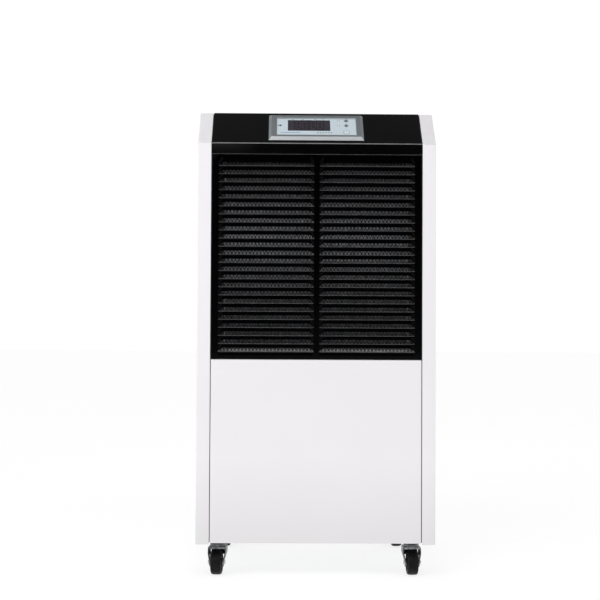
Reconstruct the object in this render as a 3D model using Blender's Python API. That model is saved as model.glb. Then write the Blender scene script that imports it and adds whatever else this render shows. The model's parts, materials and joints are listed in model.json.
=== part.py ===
"""Upright commercial dehumidifier on four swivel casters.

Metres, +Z up. The front faces -Y and +X is to the right of someone facing the front. The origin
is on the floor, below the middle of the whole object. A sheet-metal cabinet holds two compartments:
air is drawn through the louvred front grille, filter and coils above the shelf and blown out at the
back, and the compressor stands below the shelf.
"""
import math

import bmesh
import bpy
from mathutils import Vector

# ------------------------------------------------------------------ driving dimensions
WIDTH = 0.480                 # over the two side panels
FRONT_Y = -0.215              # face of the front panels
REAR_Y = 0.197                # face of the rear panels
REACH_Y = 0.215               # end of the drain spigot, the rearmost point
PANEL_BOTTOM = 0.068          # lower edge of the side panels
SIDE_TOP = 0.945              # top of the side panels
SET_BACK = 0.073              # how far the sloped control face leans back, at 45 degrees
COVER_RISE = 0.0012           # how far the cover stands above the side panels
SHEET = 0.0012                # panel sheet thickness
FOLD = 0.012                  # depth of the folded edges of the panels
FLANGE = 0.027                # width of the side panels' front, top and rear flanges
CENTRE_HALF = 0.212           # half width of the panels between those flanges
GAP = 0.0003                  # clearance left between touching pieces

SKIRT_BOTTOM = 0.8522         # lower edge of the cover's front skirt
REAR_SKIRT = 0.0197           # drop of the cover at the back
GRILLE_BOTTOM = 0.4385
GRILLE_TOP = 0.8517
PANEL_JOINT = 0.4375          # upper edge of the lower front panel
LOWER_EDGE = 0.0706           # lower edge of the front and rear panels

LOUVRE_ROWS = 24
LOUVRE_PITCH = 0.01627
LOUVRE_HEIGHT = 0.0105        # clear height of a slot
LOWEST_LOUVRE = 0.4536        # lower edge of the lowest slot
LOUVRE_COLUMNS = ((-0.1975, -0.0055), (0.0055, 0.1975))

BEZEL = (-0.098, 0.095, 0.0094, 0.0930)         # x and distance up the slope, at its base
BEZEL_CHAMFER = 0.006
BEZEL_HEIGHT = 0.0063
FACEPLATE = (-0.0815, 0.0800, 0.0212, 0.0772)
FACEPLATE_BACK = 0.0033       # heights above the slope
FACEPLATE_FACE = 0.0048
WINDOW = (-0.059, 0.027, 0.0362, 0.0724)
BUTTONS = {                   # x, distance up the slope, radius
    "up_button": (0.060, 0.0707, 0.0030),
    "down_button": (0.060, 0.0541, 0.0030),
    "power_button": (0.060, 0.0313, 0.0045),
}
BUTTON_FACE = 0.0058          # height of the button tops above the slope
PLUNGER_END = 0.0010          # height of the buttons' inner ends

BASE_BOTTOM = 0.0703
BASE_WALL = 0.025
BASE_SHEET = 0.0015
SHELF_TOP = 0.4330
SHELF_DEPTH = 0.015
INNER_HALF = 0.2372           # half width of the shelf and base between the side panels
INNER_FRONT = -0.2024
INNER_REAR = 0.1845

FILTER_HALF = 0.2085
FILTER_Z = (0.4415, 0.8485)
FILTER_Y = (-0.2045, -0.1965)
FILTER_BORDER = 0.008

COIL_HALF = 0.185             # half length of the fin blocks
COIL_Z = (0.462, 0.850)
COIL_DEPTH = 0.044
COIL_PLATE = 0.002            # thickness of the end plates
COIL_FOOT = 0.4354            # lower edge of the end plates, in the drip tray
EVAPORATOR_Y = -0.163
CONDENSER_Y = -0.103
TUBE_PITCH = 0.025
TUBE_ROWS = 14
TUBE_BOTTOM = 0.4935
TUBE_RADIUS = 0.0045
COIL_FACE = COIL_HALF + 0.0015 + GAP            # where the pipes meet the end plates
TUBE_TOP = TUBE_BOTTOM + (TUBE_ROWS - 1) * TUBE_PITCH

TRAY = ((-0.207, -0.193, SHELF_TOP + GAP), (0.207, -0.074, 0.458))
SPOUT = (-0.050, -0.090)
SPOUT_RADIUS = 0.007
SPOUT_END = 0.415
PIPE_SLOT = ((0.2075, -0.172), (0.2338, -0.094))

FAN_Z = 0.655                 # height of the fan axis
OUTLET_RADIUS = 0.150
DUCT_WALL = 0.0015
BULKHEAD_Y = 0.138
ROTOR_RADIUS = 0.146
HUB_RADIUS = 0.045
SHAFT_RADIUS = 0.006
BLADES = 5
MOTOR_RADIUS = 0.048
MOTOR_Y = (0.072, 0.1354)
GUARD_WIRE = 0.0032

COMPRESSOR = (0.060, 0.010)
COMPRESSOR_RADIUS = 0.066
COMPRESSOR_TOP = 0.350
FOOT_CIRCLE = 0.082
ACCUMULATOR = (0.168, 0.010)
ACCUMULATOR_TOP = 0.300
DRIER = (0.200, -0.120)
DRIER_Z = (0.200, 0.300)

GRIP_HALF = 0.068             # half length of the opening, along Y
GRIP_Z = (0.720, 0.756)
GRIP_POCKET_TOP = 0.766       # the finger pocket rises behind the panel
GRIP_DEPTH = 0.030
GRIP_WALL = 0.0025

DRAIN = (-0.120, 0.300)       # x and z of the spigot
DRAIN_BORE = 0.005
GLAND = (0.150, 0.130)
GLAND_BORE = 0.0042

CASTER_X = 0.198
CASTER_Y = (-0.148, 0.158)
CASTER_HEIGHT = 0.070
CASTER_TRAIL = 0.019
RACE_TOP = 0.0612             # top of the fork's ball race
WHEEL_RADIUS = 0.025
WHEEL_SIDES = 20
AXLE_RADIUS = 0.003
CASTERS = {                   # x, y, and the swivel's turn from trailing forwards, in degrees
    "front_left": (-CASTER_X, CASTER_Y[0], -4.0),
    "front_right": (CASTER_X, CASTER_Y[0], 1.0),
    "rear_left": (-CASTER_X, CASTER_Y[1], 175.0),
    "rear_right": (CASTER_X, CASTER_Y[1], -176.0),
}

FINISHES = {                  # colour, roughness, metallic
    "white_enamel": ((0.80, 0.80, 0.81), 0.38, 0.0),
    "black_enamel": ((0.012, 0.013, 0.013), 0.45, 0.0),
    "galvanised": ((0.55, 0.56, 0.57), 0.42, 0.9),
    "silver_paint": ((0.42, 0.44, 0.45), 0.35, 0.5),
    "pale_film": ((0.62, 0.69, 0.71), 0.40, 0.0),
    "dark_window": ((0.035, 0.032, 0.045), 0.15, 0.0),
    "board": ((0.02, 0.16, 0.07), 0.50, 0.0),
    "dark_key": ((0.04, 0.045, 0.05), 0.45, 0.0),
    "pale_key": ((0.78, 0.80, 0.82), 0.40, 0.0),
    "black_plastic": ((0.015, 0.015, 0.016), 0.50, 0.0),
    "aluminium": ((0.60, 0.61, 0.63), 0.35, 1.0),
    "copper": ((0.72, 0.37, 0.24), 0.30, 1.0),
    "steel": ((0.50, 0.50, 0.51), 0.35, 1.0),
    "white_plastic": ((0.75, 0.75, 0.74), 0.45, 0.0),
    "rubber": ((0.02, 0.02, 0.02), 0.80, 0.0),
    "grey_hose": ((0.35, 0.36, 0.37), 0.50, 0.0),
    "zinc": ((0.42, 0.43, 0.44), 0.38, 0.9),
    "tyre": ((0.018, 0.018, 0.018), 0.70, 0.0),
}
SMOOTH_ANGLE = math.radians(35.0)
PLACE = {                     # where a point (a, b) of an outline goes, at a distance along an axis
    "X": lambda a, b, along: (along, a, b),
    "Y": lambda a, b, along: (a, along, b),
    "Z": lambda a, b, along: (a, b, along),
}


# ------------------------------------------------------------------ outlines and paths
def rectangle(left, right, low, high):
    """Four corners of a rectangle."""
    return [(left, low), (right, low), (right, high), (left, high)]


def arc(centre, radius, start, end, steps):
    """Points of an arc, with its angles in degrees."""
    points = []
    for step in range(steps + 1):
        angle = math.radians(start + (end - start) * step / steps)
        points.append((centre[0] + radius * math.cos(angle), centre[1] + radius * math.sin(angle)))
    return points


def circle(centre, radius, sides):
    """Corners of a regular outline round a centre."""
    return arc(centre, radius, 0.0, 360.0, sides)[:-1]


def rounded_rectangle(left, right, low, high, radius, steps=3):
    """Rectangle with its corners turned into arcs."""
    corners = (
        (right - radius, high - radius, 0.0),
        (left + radius, high - radius, 90.0),
        (left + radius, low + radius, 180.0),
        (right - radius, low + radius, 270.0),
    )
    points = []
    for x, y, start in corners:
        points += arc((x, y), radius, start, start + 90.0, steps)
    return points


def rounded_path(corners, radius, steps=4):
    """Open path through the corners, each inner corner turned into an arc."""
    corners = [Vector(corner) for corner in corners]
    path = [corners[0]]
    for before, corner, after in zip(corners, corners[1:], corners[2:]):
        arriving = (corner - before).normalized()
        leaving = (after - corner).normalized()
        half_turn = arriving.angle(leaving) / 2.0
        centre = corner + (leaving - arriving).normalized() * radius / math.cos(half_turn)
        reach = radius * math.tan(half_turn)
        first = (corner - arriving * reach - centre).normalized()
        last = (corner + leaving * reach - centre).normalized()
        path += [centre + first.slerp(last, step / steps) * radius for step in range(steps + 1)]
    path.append(corners[-1])
    return path


def sheet_outline(path, thickness):
    """Closed outline of a bent sheet whose outer face follows the path, with the sheet on its right."""
    inner = []
    for index, point in enumerate(path):
        before = (point - path[max(index - 1, 0)]).normalized()
        after = (path[min(index + 1, len(path) - 1)] - point).normalized()
        along = (before + after).normalized()
        mitre = along.dot(after if index == 0 else before)
        inner.append(point + Vector((along.y, -along.x)) * thickness / mitre)
    return [tuple(point) for point in path] + [tuple(point) for point in reversed(inner)]


def side_outline(inset=0.0, bottom=PANEL_BOTTOM):
    """Side view of the cabinet as (y, z), pulled in on every edge but the bottom one."""
    lean = inset * math.tan(math.radians(22.5))
    return [
        (FRONT_Y + inset, bottom),
        (FRONT_Y + inset, SIDE_TOP - SET_BACK - lean),
        (FRONT_Y + SET_BACK + lean, SIDE_TOP - inset),
        (REAR_Y - inset, SIDE_TOP - inset),
        (REAR_Y - inset, bottom),
    ]


# ------------------------------------------------------------------ solids
def solid(bm):
    """Mesh of a closed bmesh with its faces pointing out, smooth except at its real edges."""
    bmesh.ops.recalc_face_normals(bm, faces=bm.faces)
    mesh = bpy.data.meshes.new("solid")
    bm.to_mesh(mesh)
    bm.free()
    mesh.shade_smooth()
    mesh.set_sharp_from_angle(angle=SMOOTH_ANGLE)
    return mesh


def loft(sections):
    """Solid through sections with equal numbers of points, capped at both ends."""
    bm = bmesh.new()
    rings = [[bm.verts.new(point) for point in section] for section in sections]
    bm.faces.new(rings[0])
    bm.faces.new(rings[-1])
    for ring, following in zip(rings, rings[1:]):
        for index in range(len(ring)):
            bm.faces.new((ring[index - 1], ring[index], following[index], following[index - 1]))
    return solid(bm)


def prism(outline, axis, low, high):
    """Outline pushed along an axis."""
    place = PLACE[axis]
    return loft([[place(a, b, along) for a, b in outline] for along in (low, high)])


def block(low, high):
    """Box between two corners."""
    return prism(rectangle(low[0], high[0], low[1], high[1]), "Z", low[2], high[2])


def cylinder(axis, centre, radius, low, high, sides=20):
    """Round bar along an axis; the centre is given in the plane across it."""
    return prism(circle(centre, radius, sides), axis, low, high)


def turned(profile, axis, centre=(0.0, 0.0), sides=20, half_step=False):
    """Profile of (radius, along) points turned about an axis.

    A profile that starts and ends on the axis makes a full solid, and any other closes into a ring.
    """
    place = PLACE[axis]
    bm = bmesh.new()
    rings = []
    for radius, along in profile:
        count = sides if radius > 0.0 else 1
        ring = []
        for side in range(count):
            angle = 2.0 * math.pi * (side + 0.5 * half_step) / sides
            a = centre[0] + radius * math.cos(angle)
            b = centre[1] + radius * math.sin(angle)
            ring.append(bm.verts.new(place(a, b, along)))
        rings.append(ring)
    if len(rings[0]) > 1:
        rings.append(rings[0])
    for ring, following in zip(rings, rings[1:]):
        for side in range(sides):
            corners = [ring[side % len(ring)], ring[(side + 1) % len(ring)],
                       following[(side + 1) % len(following)], following[side % len(following)]]
            bm.faces.new(list(dict.fromkeys(corners)))
    return solid(bm)


def pan(low, high, wall, axis, open_side):
    """Sheet folded up on four edges: a box of the given wall, open at one side of an axis."""
    open_axis = "XYZ".index(axis)
    inner_low = [value + wall for value in low]
    inner_high = [value - wall for value in high]
    if open_side < 0:
        inner_low[open_axis] = low[open_axis]
    else:
        inner_high[open_axis] = high[open_axis]
    bm = bmesh.new()

    def corners(lows, highs):
        made = {}
        for index in range(8):
            bits = (index & 1, index >> 1 & 1, index >> 2 & 1)
            made[bits] = bm.verts.new([(lows, highs)[bit][i] for i, bit in enumerate(bits)])
        return made

    outer, inner = corners(low, high), corners(inner_low, inner_high)
    for across in range(3):
        first, second = [other for other in range(3) if other != across]
        for bit in (0, 1):
            loop = []
            for a, b in ((0, 0), (1, 0), (1, 1), (0, 1)):
                bits = [bit, bit, bit]
                bits[first], bits[second] = a, b
                loop.append(tuple(bits))
            if across == open_axis and bit == (open_side > 0):
                for here, there in zip(loop, loop[1:] + loop[:1]):
                    bm.faces.new((outer[here], outer[there], inner[there], inner[here]))
            else:
                bm.faces.new([outer[bits] for bits in loop])
                bm.faces.new([inner[bits] for bits in loop])
    return solid(bm)


def tube(path, radius, sides=8):
    """Round solid along a path."""
    path = [Vector(point) for point in path]
    heading = (path[1] - path[0]).normalized()
    across = heading.orthogonal().normalized()
    sections = []
    for index, point in enumerate(path):
        ahead = (path[min(index + 1, len(path) - 1)] - path[max(index - 1, 0)]).normalized()
        across = heading.rotation_difference(ahead) @ across
        heading = ahead
        upward = heading.cross(across)
        ring = []
        for side in range(sides):
            angle = 2.0 * math.pi * side / sides
            ring.append(point + (across * math.cos(angle) + upward * math.sin(angle)) * radius)
        sections.append(ring)
    return loft(sections)


def merged(meshes):
    """One mesh holding several."""
    bm = bmesh.new()
    for mesh in meshes:
        bm.from_mesh(mesh)
    return solid(bm)


# ------------------------------------------------------------------ objects
def link(name, data, parent=None):
    """Object with the given name, in the scene."""
    made = bpy.data.objects.new(name, data)
    bpy.context.scene.collection.objects.link(made)
    made.parent = parent
    return made


def pivot(name, location, turn=(0.0, 0.0, 0.0), parent=None):
    """Empty on a joint's axis, or at the corner of a local frame."""
    made = link(name, None, parent)
    made.location = location
    made.rotation_euler = turn
    return made


def part(name, mesh, finish, parent=None):
    """Sub-part with a material of its own."""
    colour, roughness, metallic = FINISHES[finish]
    material = bpy.data.materials.new(name + "_" + finish)
    material.use_nodes = True
    shader = material.node_tree.nodes["Principled BSDF"]
    shader.inputs["Base Color"].default_value = (*colour, 1.0)
    shader.inputs["Roughness"].default_value = roughness
    shader.inputs["Metallic"].default_value = metallic
    mesh.materials.clear()
    mesh.materials.append(material)
    return link(name, mesh, parent)


def combine(target, operation, mesh, parent=None):
    """Boolean a sub-part with a hidden guide shape, by default in the sub-part's own frame."""
    guide = link(target.name + "_guide", mesh, parent or target.parent)
    guide.hide_render = True
    guide.display_type = "WIRE"
    modifier = target.modifiers.new(operation.title(), "BOOLEAN")
    modifier.operation = operation
    modifier.solver = "EXACT"
    modifier.object = guide


def cut(target, mesh, parent=None):
    """Take a shape away from a sub-part."""
    combine(target, "DIFFERENCE", mesh, parent)


def fuse(target, mesh):
    """Weld a shape to a sub-part."""
    combine(target, "UNION", mesh)


# ------------------------------------------------------------------ cabinet
def make_side_panel(name, side):
    """Side sheet with flanges along the front, slope, top and back, and a hole for the hand grip."""
    half = WIDTH / 2.0
    panel = part(name, prism(side_outline(), "X", side * (half - FLANGE), side * half), "white_enamel")
    hollow = prism(side_outline(SHEET, PANEL_BOTTOM - SHEET), "X",
                   side * (half - FLANGE - SHEET), side * (half - SHEET))
    cut(panel, hollow)
    hole = rounded_rectangle(-GRIP_HALF, GRIP_HALF, *GRIP_Z, 0.008)
    cut(panel, prism(hole, "X", side * (half - 2.0 * SHEET), side * (half + SHEET)))


def make_hand_grip(name, side):
    """Moulded cup behind the side panel, whose pocket rises behind the sheet for the fingers."""
    face = WIDTH / 2.0 - SHEET - GAP
    outline = rounded_rectangle(-GRIP_HALF - 0.010, GRIP_HALF + 0.010,
                                GRIP_Z[0] - 0.010, GRIP_POCKET_TOP + 0.004, 0.010)
    grip = part(name, prism(outline, "X", side * (face - GRIP_DEPTH - GRIP_WALL), side * face),
                "black_plastic")
    pocket = rounded_rectangle(-GRIP_HALF, GRIP_HALF, GRIP_Z[0], GRIP_POCKET_TOP, 0.008)
    cut(grip, prism(pocket, "X", side * (face - GRIP_DEPTH), side * (face + SHEET)))


def make_cover(slope):
    """One bent sheet: front skirt, sloped control face, top and rear skirt."""
    top = SIDE_TOP + COVER_RISE
    bend = top - SET_BACK
    front_bend = rounded_path([(FRONT_Y, SKIRT_BOTTOM), (FRONT_Y, bend),
                               (FRONT_Y + 0.5 * SET_BACK, bend + 0.5 * SET_BACK)], 0.003, 3)
    top_bend = rounded_path([(FRONT_Y + 0.5 * SET_BACK, bend + 0.5 * SET_BACK),
                             (FRONT_Y + SET_BACK, top), (REAR_Y, top), (REAR_Y, top - REAR_SKIRT)],
                            0.006)
    outline = sheet_outline(front_bend + top_bend[1:], SHEET)
    cover = part("top_cover", prism(outline, "X", -CENTRE_HALF, CENTRE_HALF), "black_enamel")
    cut(cover, block((-0.084, 0.020, -0.010), (0.082, 0.082, 0.010)), slope)


def make_front_grille():
    """Black pan with two columns of louvres, each slot with a flap sloping down behind it."""
    grille = part("front_grille", pan((-CENTRE_HALF, FRONT_Y, GRILLE_BOTTOM),
                                      (CENTRE_HALF, FRONT_Y + FOLD, GRILLE_TOP), SHEET, "Y", 1),
                  "black_enamel")
    slots, flaps = [], []
    for row in range(LOUVRE_ROWS):
        low = LOWEST_LOUVRE + row * LOUVRE_PITCH
        high = low + LOUVRE_HEIGHT
        flap = [(FRONT_Y + 0.0005, high + 0.0012), (FRONT_Y + 0.0065, high - 0.0030),
                (FRONT_Y + 0.0065, high - 0.0040), (FRONT_Y + 0.0005, high + 0.0002)]
        for left, right in LOUVRE_COLUMNS:
            slots.append(block((left, FRONT_Y - SHEET, low), (right, FRONT_Y + 2.0 * SHEET, high)))
            flaps.append(prism(flap, "X", left + 0.003, right - 0.003))
    cut(grille, merged(slots))
    fuse(grille, merged(flaps))


def make_rear_panels():
    """Upper panel with the round air outlet, and the service panel below it."""
    rear_panel = part("rear_panel", pan((-CENTRE_HALF, REAR_Y - FOLD, 0.4310),
                                        (CENTRE_HALF, REAR_Y, SIDE_TOP + COVER_RISE - REAR_SKIRT - 0.001),
                                        SHEET, "Y", -1), "white_enamel")
    cut(rear_panel, cylinder("Y", (0.0, FAN_Z), OUTLET_RADIUS, REAR_Y - 2.0 * SHEET, REAR_Y + SHEET, 36))
    service = part("rear_service_panel", pan((-CENTRE_HALF, REAR_Y - FOLD, LOWER_EDGE),
                                             (CENTRE_HALF, REAR_Y, 0.4300), SHEET, "Y", -1),
                   "white_enamel")
    for place, radius in ((DRAIN, 0.0084), (GLAND, 0.0084)):
        cut(service, cylinder("Y", place, radius, REAR_Y - 2.0 * SHEET, REAR_Y + SHEET, 16))


def make_cabinet(slope):
    """Base, shelf and every outer panel."""
    part("base_tray", pan((-INNER_HALF, INNER_FRONT, BASE_BOTTOM),
                          (INNER_HALF, INNER_REAR, BASE_BOTTOM + BASE_WALL), BASE_SHEET, "Z", 1),
         "galvanised")
    shelf = part("mid_shelf", pan((-INNER_HALF, INNER_FRONT, SHELF_TOP - SHELF_DEPTH),
                                  (INNER_HALF, INNER_REAR, SHELF_TOP), SHEET, "Z", -1), "galvanised")
    cut(shelf, block((*PIPE_SLOT[0], SHELF_TOP - 2.0 * SHEET), (*PIPE_SLOT[1], SHELF_TOP + SHEET)))
    cut(shelf, cylinder("Z", SPOUT, SPOUT_RADIUS + 0.0006, SHELF_TOP - 2.0 * SHEET, SHELF_TOP + SHEET, 16))
    for name, side in (("left", -1.0), ("right", 1.0)):
        make_side_panel(name + "_side_panel", side)
        make_hand_grip(name + "_hand_grip", side)
    make_cover(slope)
    make_front_grille()
    part("lower_front_panel", pan((-CENTRE_HALF, FRONT_Y, LOWER_EDGE),
                                  (CENTRE_HALF, FRONT_Y + FOLD, PANEL_JOINT), SHEET, "Y", 1),
         "white_enamel")
    make_rear_panels()


# ------------------------------------------------------------------ control panel
def make_control_panel(slope):
    """Bezel, faceplate, display window, board and keys, in the sloped face's own frame."""
    left, right, low, high = BEZEL
    top_outline = rectangle(left + BEZEL_CHAMFER, right - BEZEL_CHAMFER,
                            low + BEZEL_CHAMFER, high - BEZEL_CHAMFER)
    base = [(x, y, GAP) for x, y in rectangle(*BEZEL)]
    crown = [(x, y, BEZEL_HEIGHT) for x, y in top_outline]
    bezel = part("display_bezel", loft([base, crown]), "silver_paint", slope)
    left, right, low, high = FACEPLATE
    cut(bezel, block((left - GAP, low - GAP, FACEPLATE_BACK - GAP), (right + GAP, high + GAP, 0.010)))
    ledge = 0.0025
    cut(bezel, block((left + ledge, low + ledge, -0.002), (right - ledge, high - ledge, 0.010)))

    plate = part("display_faceplate", block((left, low, FACEPLATE_BACK), (right, high, FACEPLATE_FACE)),
                 "pale_film", slope)
    board = part("control_board", block((left + 0.0035, low + 0.0035, -0.0045),
                                        (right - 0.0035, high - 0.0035, -0.0030)), "board", slope)
    left, right, low, high = WINDOW
    part("display_window", block((left, low, FACEPLATE_BACK), (right, high, FACEPLATE_FACE)),
         "dark_window", slope)
    cut(plate, block((left - GAP, low - GAP, 0.0), (right + GAP, high + GAP, 0.010)))
    fuse(board, block((left + 0.001, low + 0.001, -0.0035), (right - 0.001, high - 0.001, 0.0029)))

    for name, (x, y, radius) in BUTTONS.items():
        cut(plate, cylinder("Z", (x, y), radius + GAP, 0.0, 0.010, 16))
        fuse(board, cylinder("Z", (x, y), 0.0022, -0.0035, PLUNGER_END - 0.0011, 12))
        centre = pivot(name + "_axis", (x, y, 0.0), parent=slope)
        stem = radius - 0.0008
        rim = radius + 0.0005
        profile = [(0.0, PLUNGER_END), (stem, PLUNGER_END), (stem, 0.0020), (rim, 0.0020),
                   (rim, FACEPLATE_BACK - GAP), (radius, FACEPLATE_BACK - GAP),
                   (radius, BUTTON_FACE - 0.0004), (radius - 0.0004, BUTTON_FACE), (0.0, BUTTON_FACE)]
        part(name, turned(profile, "Z", sides=16),
             "pale_key" if name == "power_button" else "dark_key", centre)


# ------------------------------------------------------------------ air side
def make_filter():
    """Frame and mesh pad behind the grille."""
    low, high = FILTER_Z
    frame = part("filter_frame", block((-FILTER_HALF, FILTER_Y[0], low), (FILTER_HALF, FILTER_Y[1], high)),
                 "black_plastic")
    inner = FILTER_HALF - FILTER_BORDER
    window = ((-inner, FILTER_Y[0] - SHEET, low + FILTER_BORDER),
              (inner, FILTER_Y[1] + SHEET, high - FILTER_BORDER))
    cut(frame, block(*window))
    part("filter_mesh", block((-inner + GAP, -0.2014, low + FILTER_BORDER + GAP),
                              (inner - GAP, -0.2002, high - FILTER_BORDER - GAP)), "aluminium")


def make_coil(name, y, finish):
    """Fin block between two end plates, with the return bends of its tubes."""
    half_depth = COIL_DEPTH / 2.0
    coil = part(name, block((-COIL_HALF, y - half_depth, COIL_Z[0]), (COIL_HALF, y + half_depth, COIL_Z[1])),
                finish)
    plates, bends = [], []
    for side in (-1.0, 1.0):
        near, far = sorted((side * (COIL_HALF - 0.0005), side * (COIL_HALF + 0.0015)))
        plates.append(block((near, y - half_depth - COIL_PLATE, COIL_FOOT),
                            (far, y + half_depth + COIL_PLATE, COIL_Z[1] + COIL_PLATE)))
        first = 1 if side > 0.0 else 0
        for row in range(first, TUBE_ROWS - 1, 2):
            middle = TUBE_BOTTOM + (row + 0.5) * TUBE_PITCH
            loop = arc((COIL_HALF + 0.001, middle), TUBE_PITCH / 2.0, -90.0, 90.0, 4)
            bends.append(tube([(side * x, y, z) for x, z in loop], TUBE_RADIUS, 5))
    fuse(coil, merged(plates))
    fuse(coil, merged(bends))


def make_drip_tray():
    """Tray under both coils, with a spout through the shelf and a hose to the spigot."""
    tray = part("drip_tray", pan(*TRAY, 0.0015, "Z", 1), "white_plastic")
    fuse(tray, cylinder("Z", SPOUT, SPOUT_RADIUS, SPOUT_END, SHELF_TOP + 0.0011, 16))
    cut(tray, cylinder("Z", SPOUT, SPOUT_RADIUS - 0.0015, SPOUT_END - 0.002, SHELF_TOP + 0.006, 16))
    route = [(*SPOUT, SPOUT_END - GAP), (*SPOUT, 0.350), (DRAIN[0], 0.080, DRAIN[1]),
             (DRAIN[0], REAR_Y - 0.0193, DRAIN[1])]
    part("drain_hose", tube(rounded_path(route, 0.040, 6), 0.0075), "grey_hose")
    profile = [(DRAIN_BORE, REAR_Y - 0.019), (0.0080, REAR_Y - 0.019), (0.0080, REAR_Y + GAP),
               (0.0140, REAR_Y + GAP), (0.0140, REAR_Y + 0.003), (0.0065, REAR_Y + 0.003),
               (0.0065, REAR_Y + 0.009), (0.0080, REAR_Y + 0.009), (0.0062, REACH_Y), (DRAIN_BORE, REACH_Y)]
    part("drain_spigot", turned(profile, "Y", DRAIN, 16), "white_plastic")


def make_fan():
    """Bulkhead with its duct, motor on a strap, shaft, rotor and rear guard."""
    axis = (0.0, FAN_Z)
    outer = OUTLET_RADIUS + DUCT_WALL
    shroud = part("fan_shroud", block((-0.234, BULKHEAD_Y, SHELF_TOP + GAP),
                                      (0.234, BULKHEAD_Y + SHEET, 0.905)), "galvanised")
    cut(shroud, cylinder("Y", axis, OUTLET_RADIUS + DUCT_WALL / 2.0, BULKHEAD_Y - SHEET,
                         BULKHEAD_Y + 2.0 * SHEET, 36))
    duct = [(OUTLET_RADIUS, BULKHEAD_Y - GAP / 2.0), (outer, BULKHEAD_Y - GAP / 2.0),
            (outer, REAR_Y - SHEET - GAP), (OUTLET_RADIUS, REAR_Y - SHEET - GAP)]
    fuse(shroud, turned(duct, "Y", axis, 36))

    strap_back = BULKHEAD_Y - 2.0 * GAP
    strap = part("fan_motor_bracket", block((-0.172, MOTOR_Y[1] + GAP, FAN_Z - 0.020),
                                            (0.172, strap_back, FAN_Z + 0.020)), "galvanised")
    cut(strap, cylinder("Y", axis, SHAFT_RADIUS + 0.001, MOTOR_Y[1] - SHEET, strap_back + SHEET, 16))
    bore_end = MOTOR_Y[1] - 0.012
    motor = [(0.0, MOTOR_Y[0]), (0.030, MOTOR_Y[0]), (MOTOR_RADIUS, MOTOR_Y[0] + 0.010),
             (MOTOR_RADIUS, MOTOR_Y[1] - 0.008), (0.036, MOTOR_Y[1]), (SHAFT_RADIUS + GAP, MOTOR_Y[1]),
             (SHAFT_RADIUS + GAP, bore_end), (0.0, bore_end)]
    part("fan_motor", turned(motor, "Y", axis, 24), "black_enamel")

    spin = pivot("fan_axis", (0.0, 0.0, FAN_Z))
    shaft = [(0.0, bore_end + GAP), (SHAFT_RADIUS, bore_end + GAP), (SHAFT_RADIUS, 0.184), (0.0, 0.184)]
    part("fan_shaft", turned(shaft, "Y", sides=16), "steel", spin)
    bore = SHAFT_RADIUS + GAP
    hub = [(bore, 0.142), (HUB_RADIUS - 0.004, 0.142), (HUB_RADIUS, 0.146), (HUB_RADIUS, 0.180),
           (bore, 0.180)]
    rotor = part("fan_rotor", turned(hub, "Y", sides=30), "black_plastic", spin)
    fuse(rotor, merged([make_blade(2.0 * math.pi * blade / BLADES) for blade in range(BLADES)]))
    make_guard(axis)


def make_blade(middle):
    """Twisted blade, rooted in the hub; its chord wraps round the axis at each radius."""
    stations = 5
    sections = []
    for station in range(stations):
        share = station / (stations - 1)
        radius = HUB_RADIUS - 0.003 + share * (ROTOR_RADIUS - HUB_RADIUS + 0.003)
        chord = 0.042 + 0.058 * share
        pitch = math.radians(46.0 - 26.0 * share)
        ring = []
        for along, thick in ((-0.5, 0.0), (-0.2, -1.0), (0.2, -1.0), (0.5, 0.0), (0.2, 1.0), (-0.2, 1.0)):
            sideways = along * chord * math.cos(pitch) - thick * 0.0012 * math.sin(pitch)
            forward = along * chord * math.sin(pitch) + thick * 0.0012 * math.cos(pitch)
            angle = middle + 0.35 * share + sideways / radius
            ring.append((radius * math.cos(angle), 0.163 + forward, radius * math.sin(angle)))
        sections.append(ring)
    return loft(sections)


def make_guard(axis):
    """Wire guard: rings on four arms that are bent down to the rear panel."""
    half_wire = GUARD_WIRE / 2.0
    arm_low, arm_high = REAR_Y + 0.0060, REAR_Y + 0.0060 + GUARD_WIRE
    ring_low, ring_high = arm_high - 0.0006, arm_high - 0.0006 + GUARD_WIRE
    guard = part("fan_guard", cylinder("Y", axis, 0.022, arm_low - 0.0004, ring_high + 0.0004, 16),
                 "steel")
    reach = OUTLET_RADIUS + 0.014
    arms = []
    for x, z in ((1.0, 0.0), (0.0, 1.0), (-1.0, 0.0), (0.0, -1.0)):
        start, foot, end = 0.015, reach - GUARD_WIRE, reach
        near = sorted((start * x, end * x)) if x else [-half_wire, half_wire]
        tall = sorted((start * z, end * z)) if z else [-half_wire, half_wire]
        arms.append(block((near[0], arm_low, FAN_Z + tall[0]), (near[1], arm_high, FAN_Z + tall[1])))
        near = sorted((foot * x, end * x)) if x else [-half_wire, half_wire]
        tall = sorted((foot * z, end * z)) if z else [-half_wire, half_wire]
        arms.append(block((near[0], REAR_Y + GAP, FAN_Z + tall[0]), (near[1], arm_high, FAN_Z + tall[1])))
    for arm in arms:
        fuse(guard, arm)
    rings = []
    count = 4
    for index in range(count):
        middle = 0.046 + index * (OUTLET_RADIUS + 0.006 - 0.046) / (count - 1)
        rings.append(turned([(middle - half_wire, ring_low), (middle + half_wire, ring_low),
                             (middle + half_wire, ring_high), (middle - half_wire, ring_high)],
                            "Y", axis, 26))
    fuse(guard, merged(rings))


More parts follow.
